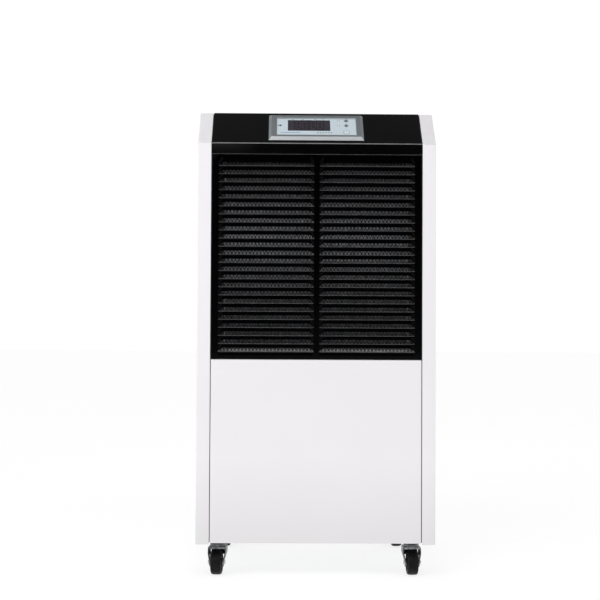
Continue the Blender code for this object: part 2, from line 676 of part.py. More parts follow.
# ------------------------------------------------------------------ refrigeration side
def make_compressor():
    """Hermetic compressor on three rubber feet, with its accumulator."""
    x, y = COMPRESSOR
    radius = COMPRESSOR_RADIUS
    foot_plate = BASE_BOTTOM + BASE_SHEET + GAP + 0.015 + GAP
    feet = [(x + FOOT_CIRCLE * math.cos(angle), y + FOOT_CIRCLE * math.sin(angle))
            for angle in (math.radians(90.0 + 120.0 * foot) for foot in range(3))]
    shell = [(0.0, foot_plate + 0.001), (radius * 0.72, foot_plate + 0.001), (radius, 0.110),
             (radius, 0.322), (radius * 0.86, 0.338), (radius * 0.5, 0.3475), (0.0, COMPRESSOR_TOP)]
    compressor = part("compressor", turned(shell, "Z", COMPRESSOR, 24), "black_enamel")
    corners = []
    for foot, centre in enumerate(feet):
        middle = 90.0 + 120.0 * foot
        corners += arc(centre, 0.016, middle - 60.0, middle + 60.0, 3)
    fuse(compressor, prism(corners, "Z", foot_plate, foot_plate + 0.003))
    fuse(compressor, block((x - 0.022, y - radius - 0.014, 0.225), (x + 0.022, y - radius + 0.012, 0.275)))
    for foot, (foot_x, foot_y) in enumerate(feet):
        low = BASE_BOTTOM + BASE_SHEET + GAP
        profile = [(0.0, low), (0.012, low), (0.0125, low + 0.006), (0.009, low + 0.008),
                   (0.011, low + 0.015), (0.0, low + 0.015)]
        part("compressor_foot_" + str(foot + 1), turned(profile, "Z", (foot_x, foot_y), 14), "rubber")

    profile = [(0.0, 0.150), (0.016, 0.153), (0.027, 0.166), (0.027, 0.284), (0.016, 0.297),
               (0.0, ACCUMULATOR_TOP)]
    accumulator = part("accumulator", turned(profile, "Z", ACCUMULATOR, 18), "black_enamel")
    elbow = rounded_path([(*ACCUMULATOR, 0.156), (*ACCUMULATOR, 0.124),
                          (x + radius + GAP, y, 0.124)], 0.014)
    fuse(accumulator, tube(elbow, 0.006))


def make_pipes():
    """Discharge, suction and liquid pipes, the filter drier and the capillary tube."""
    x, y = COMPRESSOR
    runs = {
        "discharge_pipe": (0.0040, 0.014, [
            (x, y, COMPRESSOR_TOP + GAP), (x, y, 0.395), (0.229, y, 0.395), (0.229, CONDENSER_Y, 0.395),
            (0.229, CONDENSER_Y, TUBE_TOP), (COIL_FACE, CONDENSER_Y, TUBE_TOP)]),
        "suction_pipe": (0.0050, 0.014, [
            (COIL_FACE, EVAPORATOR_Y, TUBE_TOP), (0.222, EVAPORATOR_Y, TUBE_TOP),
            (0.222, EVAPORATOR_Y, 0.330), (0.222, -0.060, 0.330), (*ACCUMULATOR, 0.330),
            (*ACCUMULATOR, ACCUMULATOR_TOP + GAP)]),
        "liquid_pipe": (0.0030, 0.008, [
            (COIL_FACE, CONDENSER_Y, TUBE_BOTTOM), (0.2125, CONDENSER_Y, TUBE_BOTTOM),
            (0.2125, CONDENSER_Y, 0.345), (*DRIER, 0.320), (*DRIER, DRIER_Z[1] + GAP)]),
        "capillary_tube": (0.0013, 0.006, [
            (*DRIER, DRIER_Z[0] - GAP), (*DRIER, 0.180), (0.211, -0.150, 0.180),
            (0.211, -0.150, TUBE_BOTTOM - 0.012), (0.211, EVAPORATOR_Y, TUBE_BOTTOM),
            (COIL_FACE, EVAPORATOR_Y, TUBE_BOTTOM)]),
    }
    for name, (radius, bend, corners) in runs.items():
        part(name, tube(rounded_path(corners, bend, 3), radius, 6), "copper")
    low, high = DRIER_Z
    profile = [(0.0, low), (0.004, low), (0.004, low + 0.010), (0.011, low + 0.018),
               (0.011, high - 0.018), (0.004, high - 0.010), (0.004, high), (0.0, high)]
    part("filter_drier", turned(profile, "Z", DRIER, 14), "copper")


def make_electrics():
    """Wiring box on the left side, run capacitor on the base, and the power cable's gland."""
    part("electrical_box", pan((-0.2385, -0.195, 0.190), (-0.118, -0.120, 0.380), SHEET, "Y", 1),
         "galvanised")
    low = BASE_BOTTOM + BASE_SHEET + GAP
    profile = [(0.0, low), (0.022, low), (0.022, low + 0.090), (0.020, low + 0.093), (0.010, low + 0.093),
               (0.010, low + 0.102), (0.0, low + 0.102)]
    part("run_capacitor", turned(profile, "Z", (-0.170, -0.060), 18), "aluminium")
    profile = [(GLAND_BORE, REAR_Y - 0.010), (0.0080, REAR_Y - 0.010), (0.0080, REAR_Y + GAP),
               (0.0125, REAR_Y + GAP), (0.0125, REAR_Y + 0.006), (0.0100, REAR_Y + 0.0065),
               (0.0090, REAR_Y + 0.013), (0.0070, REAR_Y + 0.015), (GLAND_BORE, REAR_Y + 0.015)]
    part("cable_gland", turned(profile, "Y", GLAND, 12), "black_plastic")


# ------------------------------------------------------------------ casters
def wheel_mesh():
    """Wheel with a rounded tread, recessed webs and a bore; a flat of the tread faces the floor."""
    tread = WHEEL_RADIUS / math.cos(math.pi / WHEEL_SIDES)
    half_profile = [(AXLE_RADIUS + GAP, 0.0114), (0.0075, 0.0114), (0.0085, 0.0085), (0.0170, 0.0090),
                    (0.0220, 0.0110), (tread, 0.0075)]
    profile = half_profile + [(radius, -along) for radius, along in reversed(half_profile)]
    return turned(profile, "X", sides=WHEEL_SIDES, half_step=True)


def make_caster(name, x, y, turn, wheel):
    """Plate on the base, fork that swivels under it, axle and wheel."""
    plate = part("caster_plate_" + name, prism(
        rounded_rectangle(x - 0.022, x + 0.022, y - 0.030, y + 0.030, 0.005, 2), "Z",
        CASTER_HEIGHT - 0.0022, CASTER_HEIGHT), "zinc")
    fuse(plate, cylinder("Z", (x, y), 0.0180, RACE_TOP + GAP, CASTER_HEIGHT - 0.001, 20))

    swivel = pivot(name + "_swivel_axis", (x, y, 0.0), (0.0, 0.0, math.radians(turn)))
    crown, shoulder, waist, yoke = 0.0554, 0.0460, 0.0305, 0.0030
    channel = [(-0.0182, crown), (-0.0182, shoulder), (-0.0146, waist), (-0.0146, 0.010),
               (-0.0126, 0.010), (-0.0126, waist), (-0.0160, shoulder), (-0.0160, crown - yoke)]
    channel += [(-a, b) for a, b in reversed(channel)]
    fork = part("caster_fork_" + name, prism(channel, "Y", -0.040, 0.030), "zinc", swivel)
    boss = arc((-CASTER_TRAIL, WHEEL_RADIUS), 0.009, 160.0, 320.0, 6)
    profile = [(-0.0185, crown + 0.001), (-0.0185, 0.046)] + boss + [(0.0165, 0.042), (0.0165, crown + 0.001)]
    combine(fork, "INTERSECT", prism(profile, "X", -0.030, 0.030))
    fuse(fork, cylinder("Z", (0.0, 0.0), 0.0158, crown - 0.001, RACE_TOP, 20))
    cut(fork, cylinder("X", (-CASTER_TRAIL, WHEEL_RADIUS), AXLE_RADIUS + GAP, -0.030, 0.030, 12))

    axle_centre = pivot(name + "_axle_axis", (0.0, -CASTER_TRAIL, WHEEL_RADIUS), parent=swivel)
    head, end = 0.0149, 0.0178
    profile = [(0.0, -end), (0.005, -end), (0.005, -head), (AXLE_RADIUS, -head), (AXLE_RADIUS, head),
               (0.005, head), (0.005, end), (0.0, end)]
    part("caster_axle_" + name, turned(profile, "X", sides=12), "steel", axle_centre)
    part("caster_wheel_" + name, wheel, "tyre", axle_centre)


def main():
    """Build the whole machine in an empty scene."""
    for old in list(bpy.data.objects):
        bpy.data.objects.remove(old, do_unlink=True)
    slope = pivot("slope_corner", (0.0, FRONT_Y, SIDE_TOP + COVER_RISE - SET_BACK),
                  (math.radians(45.0), 0.0, 0.0))
    make_cabinet(slope)
    make_control_panel(slope)
    make_filter()
    make_coil("evaporator_coil", EVAPORATOR_Y, "aluminium")
    make_coil("condenser_coil", CONDENSER_Y, "aluminium")
    make_drip_tray()
    make_fan()
    make_compressor()
    make_pipes()
    make_electrics()
    for name, (x, y, turn) in CASTERS.items():
        make_caster(name, x, y, turn, wheel_mesh())


main()
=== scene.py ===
"""Looks of an upright commercial dehumidifier: sheet shells, louvred grille, controls, fan and casters."""
import json
import math

import bmesh
import bpy
from mathutils import Matrix, Vector

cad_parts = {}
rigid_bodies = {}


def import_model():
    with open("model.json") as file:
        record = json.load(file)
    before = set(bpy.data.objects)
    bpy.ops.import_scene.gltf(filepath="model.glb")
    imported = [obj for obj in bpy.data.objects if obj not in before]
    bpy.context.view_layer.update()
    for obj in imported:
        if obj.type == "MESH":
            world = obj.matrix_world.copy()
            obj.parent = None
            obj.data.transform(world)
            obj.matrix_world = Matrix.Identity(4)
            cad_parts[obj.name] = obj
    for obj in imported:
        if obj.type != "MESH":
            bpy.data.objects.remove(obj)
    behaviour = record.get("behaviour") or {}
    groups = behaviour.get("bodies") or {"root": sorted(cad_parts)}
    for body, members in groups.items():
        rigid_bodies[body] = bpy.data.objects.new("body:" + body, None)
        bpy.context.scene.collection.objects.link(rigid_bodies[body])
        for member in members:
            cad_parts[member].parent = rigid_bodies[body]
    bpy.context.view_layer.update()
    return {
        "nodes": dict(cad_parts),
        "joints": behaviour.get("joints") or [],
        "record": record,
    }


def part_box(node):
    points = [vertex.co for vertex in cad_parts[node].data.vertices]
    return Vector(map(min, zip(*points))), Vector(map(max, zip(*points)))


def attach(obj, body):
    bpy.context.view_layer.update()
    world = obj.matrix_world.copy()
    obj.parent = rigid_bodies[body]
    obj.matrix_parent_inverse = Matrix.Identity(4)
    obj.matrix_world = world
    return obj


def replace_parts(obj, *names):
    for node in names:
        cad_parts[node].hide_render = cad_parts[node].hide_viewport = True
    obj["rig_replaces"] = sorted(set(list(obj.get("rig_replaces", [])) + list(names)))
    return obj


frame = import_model()

# ------------------------------------------------------------------ sizes taken from the frame
PANEL_LOW, PANEL_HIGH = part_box("lower_front_panel")
GRILLE_LOW, GRILLE_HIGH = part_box("front_grille")
COVER_LOW, COVER_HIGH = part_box("top_cover")
SIDE_LOW, SIDE_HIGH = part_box("right_side_panel")
FRONT = PANEL_LOW.y
REAR = SIDE_HIGH.y
CENTRE_HALF = PANEL_HIGH.x
SET_BACK = 0.073              # how far the sloped control face leans back, at 45 degrees
SLOPE_ORIGIN = Vector((0.0, FRONT, COVER_HIGH.z - SET_BACK))
SLOPE = Matrix.Translation(SLOPE_ORIGIN) @ Matrix.Rotation(math.radians(45.0), 4, "X")

SHEET = 0.0012                # thickness of the painted sheets
BEND = 0.0024                 # outer radius of the side panels' folds
DOOR_BEND = 0.0016
REAR_BEND = 0.0020
FOLD = 0.012                  # depth of the folded edges
REVEAL = 0.0004               # how much the door stands back from the seam at each side

LOUVRE_ROWS = 24
LOUVRE_PITCH = 0.01627
LOUVRE_HEIGHT = 0.0105
LOWEST_LOUVRE = GRILLE_LOW.z + 0.0151
LOUVRE_COLUMNS = ((-0.1975, -0.0055), (0.0055, 0.1975))
LIP = 0.0019                  # rolled lip below each louvre
RAMP = 0.008                  # length of a louvre's sloping end
HOOD_DEPTH, HOOD_DROP = 0.0065, 0.0030
GRILLE_BEND = 0.0018
FAN_Z = 0.655
OUTLET = 0.150                # radius of the hole that the fan blows through

PRINT_FACE = 0.0048           # height of the faceplate above the slope
PRINT_LOW, PRINT_HIGH = PRINT_FACE + 0.00002, PRINT_FACE + 0.0001
KEY_X = 0.060
KEYS = (("up_button", 0.0707, 0.003), ("down_button", 0.0541, 0.003), ("power_button", 0.0313, 0.0045))
KEY_TOP = 0.0058
PLUNGER_END = 0.0010


# ------------------------------------------------------------------ outlines and paths
def arc(centre, radius, start, end, steps):
    """Points of an arc, with its angles in degrees."""
    points = []
    for step in range(steps + 1):
        angle = math.radians(start + (end - start) * step / steps)
        points.append((centre[0] + radius * math.cos(angle), centre[1] + radius * math.sin(angle)))
    return points


def rounded_rectangle(left, right, low, high, radius, steps=4):
    """Rectangle with its corners turned into arcs, anticlockwise."""
    corners = ((right - radius, high - radius, 0.0), (left + radius, high - radius, 90.0),
               (left + radius, low + radius, 180.0), (right - radius, low + radius, 270.0))
    points = []
    for x, y, start in corners:
        points += arc((x, y), radius, start, start + 90.0, steps)
    return points


def rounded_path(corners, radius, steps=6):
    """Open path through the corners, each inner corner turned into an arc."""
    corners = [Vector(corner) for corner in corners]
    path = [corners[0]]
    for before, corner, after in zip(corners, corners[1:], corners[2:]):
        arriving = (corner - before).normalized()
        leaving = (after - corner).normalized()
        half_turn = arriving.angle(leaving) / 2.0
        centre = corner + (leaving - arriving).normalized() * radius / math.cos(half_turn)
        reach = radius * math.tan(half_turn)
        first = (corner - arriving * reach - centre).normalized()
        last = (corner + leaving * reach - centre).normalized()
        path += [centre + first.slerp(last, step / steps) * radius for step in range(steps + 1)]
    path.append(corners[-1])
    return path


# ------------------------------------------------------------------ meshes
PLACE = {
    "X": lambda a, b, along: (along, a, b),
    "Y": lambda a, b, along: (a, along, b),
    "Z": lambda a, b, along: (a, b, along),
}


def mesh_of(bm, outward=True):
    """Mesh of a bmesh, with its normals made consistent."""
    if outward:
        bmesh.ops.recalc_face_normals(bm, faces=bm.faces)
    mesh = bpy.data.meshes.new("piece")
    bm.to_mesh(mesh)
    bm.free()
    return mesh


def face_towards(bm, direction):
    """Make the normals of an open sheet consistent, with its largest face looking along a direction."""
    bmesh.ops.recalc_face_normals(bm, faces=bm.faces)
    if max(bm.faces, key=lambda face: face.calc_area()).normal.dot(Vector(direction)) < 0.0:
        bmesh.ops.reverse_faces(bm, faces=bm.faces)


def loft(sections, capped=True, closed=True):
    """Skin through sections with equal numbers of points."""
    bm = bmesh.new()
    rings = [[bm.verts.new(point) for point in section] for section in sections]
    if capped:
        bm.faces.new(rings[0])
        bm.faces.new(rings[-1])
    for ring, following in zip(rings, rings[1:]):
        for index in range(0 if closed else 1, len(ring)):
            bm.faces.new((ring[index - 1], ring[index], following[index], following[index - 1]))
    return bm


def prism(outline, axis, low, high):
    """Outline pushed along an axis."""
    place = PLACE[axis]
    return loft([[place(a, b, along) for a, b in outline] for along in (low, high)])


def block(low, high):
    """Box between two corners."""
    outline = [(low[0], low[1]), (high[0], low[1]), (high[0], high[1]), (low[0], high[1])]
    return prism(outline, "Z", low[2], high[2])


def turned(profile, axis="Z", centre=(0.0, 0.0), sides=48):
    """Profile of (radius, along) points turned about an axis; off the axis it closes into a ring."""
    place = PLACE[axis]
    bm = bmesh.new()
    rings = []
    for radius, along in profile:
        ring = []
        for side in range(sides if radius > 0.0 else 1):
            angle = 2.0 * math.pi * side / sides
            ring.append(bm.verts.new(place(centre[0] + radius * math.cos(angle),
                                           centre[1] + radius * math.sin(angle), along)))
        rings.append(ring)
    if len(rings[0]) > 1:
        rings.append(rings[0])
    for ring, following in zip(rings, rings[1:]):
        for side in range(sides):
            corners = [ring[side % len(ring)], ring[(side + 1) % len(ring)],
                       following[(side + 1) % len(following)], following[side % len(following)]]
            bm.faces.new(list(dict.fromkeys(corners)))
    return bm


def tube(path, radius, sides=12, closed=False):
    """Round bar along a path; a closed path makes a ring."""
    path = [Vector(point) for point in path]
    last = len(path) - 1
    heading = (path[1] - path[0]).normalized()
    across = heading.orthogonal().normalized()
    sections = []
    for index, point in enumerate(path):
        if closed:
            ahead = (path[(index + 1) % len(path)] - path[index - 1]).normalized()
        else:
            ahead = (path[min(index + 1, last)] - path[max(index - 1, 0)]).normalized()
        across = heading.rotation_difference(ahead) @ across
        heading = ahead
        upward = heading.cross(across)
        ring = []
        for side in range(sides):
            angle = 2.0 * math.pi * side / sides
            ring.append(point + (across * math.cos(angle) + upward * math.sin(angle)) * radius)
        sections.append(ring)
    if closed:
        sections.append(sections[0])
    bm = loft(sections, capped=not closed)
    if closed:
        bmesh.ops.remove_doubles(bm, verts=bm.verts, dist=1e-7)
    return bm


def merged(parts):
    """One bmesh holding several."""
    whole = bmesh.new()
    for bm in parts:
        bmesh.ops.recalc_face_normals(bm, faces=bm.faces)
        mesh = mesh_of(bm)
        whole.from_mesh(mesh)
        bpy.data.meshes.remove(mesh)
    return whole


def moved(bm, matrix):
    """The bmesh, put in place."""
    bmesh.ops.transform(bm, matrix=matrix, verts=bm.verts)
    return bm


# ------------------------------------------------------------------ materials
def mixed(nodes, links, factor, first, second):
    """Colour between two colours, by a factor socket."""
    mix = nodes.new("ShaderNodeMix")
    mix.data_type = "RGBA"
    links.new(factor, mix.inputs["Factor"])
    for socket, colour in ((mix.inputs["A"], first), (mix.inputs["B"], second)):
        if isinstance(colour, bpy.types.NodeSocket):
            links.new(colour, socket)
        else:
            socket.default_value = (*colour, 1.0)
    return mix.outputs["Result"]


def noise(nodes, links, vector, scale, detail=3.0, roughness=0.55):
    """Noise texture's factor."""
    texture = nodes.new("ShaderNodeTexNoise")
    texture.inputs["Scale"].default_value = scale
    texture.inputs["Detail"].default_value = detail
    texture.inputs["Roughness"].default_value = roughness
    links.new(vector, texture.inputs["Vector"])
    return texture.outputs["Fac"]


def ranged(nodes, links, value, low, high, to_low, to_high):
    """Value moved from one range to another, and held inside it."""
    step = nodes.new("ShaderNodeMapRange")
    for name, number in (("From Min", low), ("From Max", high), ("To Min", to_low), ("To Max", to_high)):
        step.inputs[name].default_value = number
    links.new(value, step.inputs["Value"])
    return step.outputs["Result"]


def joined(nodes, links, operation, first, second):
    """Two values put through a math operation."""
    step = nodes.new("ShaderNodeMath")
    step.operation = operation
    links.new(first, step.inputs[0])
    links.new(second, step.inputs[1])
    return step.outputs["Value"]


def split_axes(nodes, links, vector):
    """Separate node's three outputs for a vector."""
    split = nodes.new("ShaderNodeSeparateXYZ")
    links.new(vector, split.inputs["Vector"])
    return split.outputs


def surface(name, colour, roughness, metallic=0.0, specular=0.5, shade=0.04, patch=7.0,
            spread=0.06, grain=0.00003, grain_size=0.0012, stretch=(1.0, 1.0, 1.0), worn=None,
            dust=None, painted_low_shade=None):
    """Painted, moulded or metal surface.

    shade is the drift in colour over patches, spread the drift in roughness, grain the depth of the
    fine texture and grain_size its pitch, stretch draws the grain out along an axis, worn is the
    colour showing on the edges, dust a colour that settles on faces that look up, and painted_low_shade
    a colour that grows towards the floor: painted shade, for the light that falls off lower down.
    """
    material = bpy.data.materials.new(name)
    material.use_nodes = True
    nodes, links = material.node_tree.nodes, material.node_tree.links
    shader = nodes["Principled BSDF"]
    shader.inputs["Metallic"].default_value = metallic
    shader.inputs["Specular IOR Level"].default_value = specular
    place = nodes.new("ShaderNodeTexCoord").outputs["Object"]

    patches = noise(nodes, links, place, patch, 4.0)
    dark = tuple(channel * (1.0 - shade) for channel in colour)
    light = tuple(min(channel * (1.0 + shade), 1.0) for channel in colour)
    tone = mixed(nodes, links, ranged(nodes, links, patches, 0.35, 0.65, 0.0, 1.0), dark, light)
    geometry = nodes.new("ShaderNodeNewGeometry").outputs
    if worn:
        sharp = ranged(nodes, links, geometry["Pointiness"], 0.515, 0.56, 0.0, 1.0)
        broken = ranged(nodes, links, noise(nodes, links, place, 160.0, 5.0), 0.42, 0.62, 0.15, 1.0)
        tone = mixed(nodes, links, joined(nodes, links, "MULTIPLY", sharp, broken), tone, worn)
    if dust:
        flat = ranged(nodes, links, split_axes(nodes, links, geometry["Normal"])["Z"], 0.55, 1.0, 0.0, 0.35)
        uneven = ranged(nodes, links, noise(nodes, links, place, 45.0, 6.0), 0.35, 0.7, 0.1, 1.0)
        tone = mixed(nodes, links, joined(nodes, links, "MULTIPLY", flat, uneven), tone, dust)
    # Painted shade: the colour darkens towards the floor, standing in for the light falling off lower down.
    if painted_low_shade:
        near_floor = ranged(nodes, links, split_axes(nodes, links, place)["Z"], 0.08, 0.24, 0.38, 0.0)
        tone = mixed(nodes, links, near_floor, tone, painted_low_shade)
    links.new(tone, shader.inputs["Base Color"])

    smudges = noise(nodes, links, place, 23.0, 5.0)
    links.new(ranged(nodes, links, smudges, 0.3, 0.7, max(roughness - spread, 0.03), roughness + spread),
              shader.inputs["Roughness"])
    drawn = nodes.new("ShaderNodeMapping")
    drawn.inputs["Scale"].default_value = stretch
    links.new(place, drawn.inputs["Vector"])
    fine = noise(nodes, links, drawn.outputs["Vector"], 1.0 / grain_size, 2.0)
    bump = nodes.new("ShaderNodeBump")
    bump.inputs["Strength"].default_value = 1.0
    bump.inputs["Distance"].default_value = grain
    links.new(fine, bump.inputs["Height"])
    links.new(bump.outputs["Normal"], shader.inputs["Normal"])
    return material


def make_materials():
    """Every finish, by the record's slot name, with a few extra ones for details."""
    return {
        # sheets and paint
        "white_enamel": surface("white_powder_coat", (0.874, 0.858, 0.880), 0.40, shade=0.012, patch=3.0,
                                grain=0.00002, grain_size=0.0016, specular=0.4,
                                dust=(0.62, 0.60, 0.57), painted_low_shade=(0.62, 0.61, 0.605)),
        "black_enamel": surface("black_powder_coat", (0.0007, 0.0008, 0.0008), 0.17, specular=0.13,
                                shade=0.10, spread=0.03, grain=0.00002, grain_size=0.0011),
        "grille_black": surface("grille_black_coat", (0.0003, 0.0003, 0.0004), 0.17, specular=0.05,
                                shade=0.15, spread=0.03, grain=0.00002, grain_size=0.0011),
        # Painted highlights: a lighter black on the louvre lips and the grille's folds stands in for the
        # light they catch.
        "grille_highlight_black": surface("painted_highlight_black_edge", (0.085, 0.087, 0.092), 0.34, specular=0.5, shade=0.30,
                              patch=60.0, grain=0.00002),
        # Painted highlight: a lighter black along the cover's bend stands in for the light it catches.
        "cover_bend_highlight_black": surface("painted_highlight_black_bend", (0.16, 0.16, 0.165), 0.36, specular=0.5, shade=0.20,
                              patch=60.0, grain=0.00002),
        "galvanised": surface("galvanised_sheet", (0.58, 0.59, 0.60), 0.42, metallic=0.9, shade=0.12,
                              patch=55.0, spread=0.12, grain=0.00001),
        "silver_paint": surface("silver_paint", (0.34, 0.37, 0.39), 0.40, metallic=0.90, shade=0.03,
                                grain=0.00001, grain_size=0.0005),
        # Painted highlight: a brighter silver on the bezel's bottom chamfer stands in for the light falling
        # on it.
        "bezel_highlight_silver": surface("painted_highlight_silver", (0.55, 0.58, 0.60), 0.38, metallic=0.25, shade=0.02,
                               grain=0.00001, grain_size=0.0005),
        # controls
        "pale_film": surface("pale_print_film", (0.61, 0.705, 0.76), 0.36, shade=0.015, grain=0.000008,
                             grain_size=0.0006, specular=0.4),
        "dark_window": surface("smoked_window", (0.030, 0.026, 0.040), 0.12, shade=0.15, grain=0.0,
                               spread=0.04, specular=0.5),
        "led_panel": surface("display_panel", (0.013, 0.010, 0.018), 0.25, shade=0.2, grain=0.00001),
        "led_segment": surface("unlit_segments", (0.050, 0.036, 0.052), 0.35, shade=0.1, grain=0.00001),
        "board": surface("circuit_board", (0.02, 0.16, 0.07), 0.45, shade=0.2, patch=90.0, grain=0.00004),
        "dark_key": surface("dark_key", (0.035, 0.040, 0.045), 0.40, shade=0.1, grain=0.00001),
        "pale_key": surface("pale_key", (0.80, 0.83, 0.86), 0.38, shade=0.02, grain=0.00001),
        "black_plastic": surface("moulded_black", (0.013, 0.013, 0.014), 0.50, specular=0.35, shade=0.12,
                                 grain=0.00006, grain_size=0.0007),
        # metals, rubber and mouldings
        "aluminium": surface("mill_aluminium", (0.62, 0.63, 0.65), 0.34, metallic=0.95, shade=0.06,
                             patch=30.0, grain=0.00001, grain_size=0.002, stretch=(1.0, 1.0, 0.06)),
        # Painted shade: the silvery mesh is given a dark colour for the shade it sits in behind the louvres.
        "mesh_metal": surface("shade_darkened_mesh", (0.050, 0.050, 0.052), 0.34, metallic=0.60, shade=0.45,
                              patch=120.0, grain=0.00001, specular=0.4),
        # Painted shade: the copper is darkened for the shade inside the cabinet.
        "copper": surface("shade_darkened_copper", (0.32, 0.18, 0.125), 0.42, metallic=1.0, shade=0.16, patch=40.0,
                          spread=0.1, grain=0.00001),
        "steel": surface("plated_steel", (0.56, 0.56, 0.575), 0.30, metallic=0.95, shade=0.07, patch=60.0,
                         spread=0.08, grain=0.00001, worn=(0.72, 0.72, 0.73)),
        "white_plastic": surface("moulded_white", (0.74, 0.74, 0.725), 0.45, shade=0.03, grain=0.00004),
        "rubber": surface("black_rubber", (0.018, 0.018, 0.019), 0.78, shade=0.2, grain=0.00008,
                          dust=(0.10, 0.095, 0.09)),
        "grey_hose": surface("grey_hose", (0.33, 0.34, 0.35), 0.48, shade=0.06, grain=0.00003),
        # Painted shade: the forks' zinc is darkened for the shade under the cabinet.
        "zinc": surface("shade_darkened_zinc", (0.080, 0.083, 0.085), 0.36, metallic=0.75, shade=0.20, patch=90.0,
                        spread=0.07, grain=0.00002, worn=(0.42, 0.42, 0.43)),
        # Caster plates: a darker grey than the forks.
        "dark_zinc": surface("dark_grey_pressing", (0.016, 0.016, 0.017), 0.42, metallic=0.6, shade=0.3,
                             patch=90.0, spread=0.1, grain=0.00002, worn=(0.20, 0.20, 0.20)),
        "tyre": surface("moulded_tyre", (0.0034, 0.0034, 0.0036), 0.50, specular=0.15, shade=0.7,
                        patch=90.0, spread=0.12, grain=0.00012, grain_size=0.0014),
        # print
        "ink": surface("printed_ink", (0.05, 0.06, 0.09), 0.45, shade=0.1, grain=0.0),
        "blue_ink": surface("printed_blue", (0.16, 0.29, 0.52), 0.45, shade=0.1, grain=0.0),
        "red_ink": surface("printed_red", (0.50, 0.16, 0.13), 0.45, shade=0.1, grain=0.0),
    }


FINISH = make_materials()
SLOTS = {entry["node"]: entry["material_slot"] for entry in frame["record"]["subparts"]}
BODY = {node: body for body, nodes in frame["record"]["behaviour"]["bodies"].items() for node in nodes}


# ------------------------------------------------------------------ pieces
def piece(name, bm, material, node, stands_for=True, edge=None, smooth=32.0):
    """Object from a bmesh, which rides with a node's body and by default replaces that node."""
    made = bpy.data.objects.new(name, mesh_of(bm) if isinstance(bm, bmesh.types.BMesh) else bm)
    bpy.context.scene.collection.objects.link(made)
    made.data.materials.append(FINISH[material])
    made.data.shade_smooth()
    made.data.set_sharp_from_angle(angle=math.radians(smooth))
    if edge:
        soften(made, edge)
    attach(made, BODY[node])
    if stands_for:
        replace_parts(made, node)
    return made


def soften(made, width, segments=2, angle=32.0):
    """Round the sharp edges of a piece."""
    bevel = made.modifiers.new("Edges", "BEVEL")
    bevel.width = width
    bevel.segments = segments
    bevel.limit_method = "ANGLE"
    bevel.angle_limit = math.radians(angle)
    bevel.harden_normals = True


def thicken(made, thickness, offset=-1.0, even=True):
    """Give a sheet its thickness."""
    solid = made.modifiers.new("Sheet", "SOLIDIFY")
    solid.thickness = thickness
    solid.offset = offset
    solid.use_even_offset = even


def drill(made, bm):
    """Cut a shape out of a piece, at once."""
    tool = bpy.data.objects.new("tool", mesh_of(bm))
    bpy.context.scene.collection.objects.link(tool)
    modifier = made.modifiers.new("Cut", "BOOLEAN")
    modifier.operation = "DIFFERENCE"
    modifier.solver = "EXACT"
    modifier.object = tool
    apply_modifiers(made)
    bpy.data.objects.remove(tool)


def apply_modifiers(made):
    """Replace a piece's mesh by its evaluated one."""
    bpy.context.view_layer.update()
    evaluated = made.evaluated_get(bpy.context.evaluated_depsgraph_get())
    mesh = bpy.data.meshes.new_from_object(evaluated)
    made.modifiers.clear()
    made.data = mesh


def refined(node, material=None, edge=0.0005, segments=2):
    """A node's own shape with coplanar faces joined and its sharp edges rounded."""
    bm = bmesh.new()
    bm.from_mesh(frame["nodes"][node].data)
    bmesh.ops.remove_doubles(bm, verts=bm.verts, dist=1e-6)
    bmesh.ops.dissolve_limit(bm, angle_limit=math.radians(0.6), verts=bm.verts, edges=bm.edges)
    made = piece(node + "_shell", bm, material or SLOTS[node], node)
    soften(made, edge, segments)
    return made


# ------------------------------------------------------------------ cabinet
def side_ring(x, inset, bottom):
    """Front, slope, top and back of the cabinet's side view, pulled in by inset, at one x."""
    lean = inset * math.tan(math.radians(22.5))
    return [(x, FRONT + inset, bottom), (x, FRONT + inset, SIDE_HIGH.z - SET_BACK - lean),
            (x, FRONT + SET_BACK + lean, SIDE_HIGH.z - inset), (x, REAR - inset, SIDE_HIGH.z - inset),
            (x, REAR - inset, bottom)]


def make_side_panels():
    """Side sheets, folded over onto the front, slope, top and back, with a hole for the hand grip."""
    for name, side in (("left", -1.0), ("right", 1.0)):
        rings = [side_ring(side * (SIDE_HIGH.x - BEND * (1.0 - math.sin(turn))),
                           BEND * (1.0 - math.cos(turn)), SIDE_LOW.z)
                 for turn in (math.radians(angle) for angle in (90, 72, 54, 36, 18, 0))]
        rings.append(side_ring(side * SIDE_LOW.x, 0.0, SIDE_LOW.z))
        bm = loft(rings, capped=False, closed=False)
        bm.verts.ensure_lookup_table()
        bm.faces.new(bm.verts[:5])
        face_towards(bm, (side, 0.0, 0.0))
        node = name + "_side_panel"
        panel = piece(node + "_sheet", mesh_of(bm, outward=False), "white_enamel", node, smooth=20.0)
        thicken(panel, SHEET)
        apply_modifiers(panel)
        grip_low, grip_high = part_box(name + "_hand_grip")
        reach = grip_high.y - 0.010
        outline = rounded_rectangle(-reach, reach, grip_low.z + 0.010, grip_high.z - 0.014, 0.008, 5)
        drill(panel, prism(outline, "X", side * (SIDE_HIGH.x - 0.004), side * (SIDE_HIGH.x + 0.004)))
        panel.data.set_sharp_from_angle(angle=math.radians(20.0))
        soften(panel, 0.00035, 2, 50.0)


def folded_pan(low, high, face_y, back_y, radius):
    """Surface of a panel's face with its four edges folded back."""
    depth = 1.0 if back_y > face_y else -1.0
    rings = []
    for angle in (90, 67.5, 45, 22.5, 0):
        turn = math.radians(angle)
        inset, back = radius * (1.0 - math.cos(turn)), radius * (1.0 - math.sin(turn))
        rings.append([(low.x + inset, face_y + depth * back, low.z + inset),
                      (high.x - inset, face_y + depth * back, low.z + inset),
                      (high.x - inset, face_y + depth * back, high.z - inset),
                      (low.x + inset, face_y + depth * back, high.z - inset)])
    rings.append([(x, back_y, z) for x, _, z in rings[-1]])
    bm = loft(rings, capped=False)
    bm.verts.ensure_lookup_table()
    bm.faces.new(bm.verts[:4])
    face_towards(bm, (0.0, -depth, 0.0))
    return bm


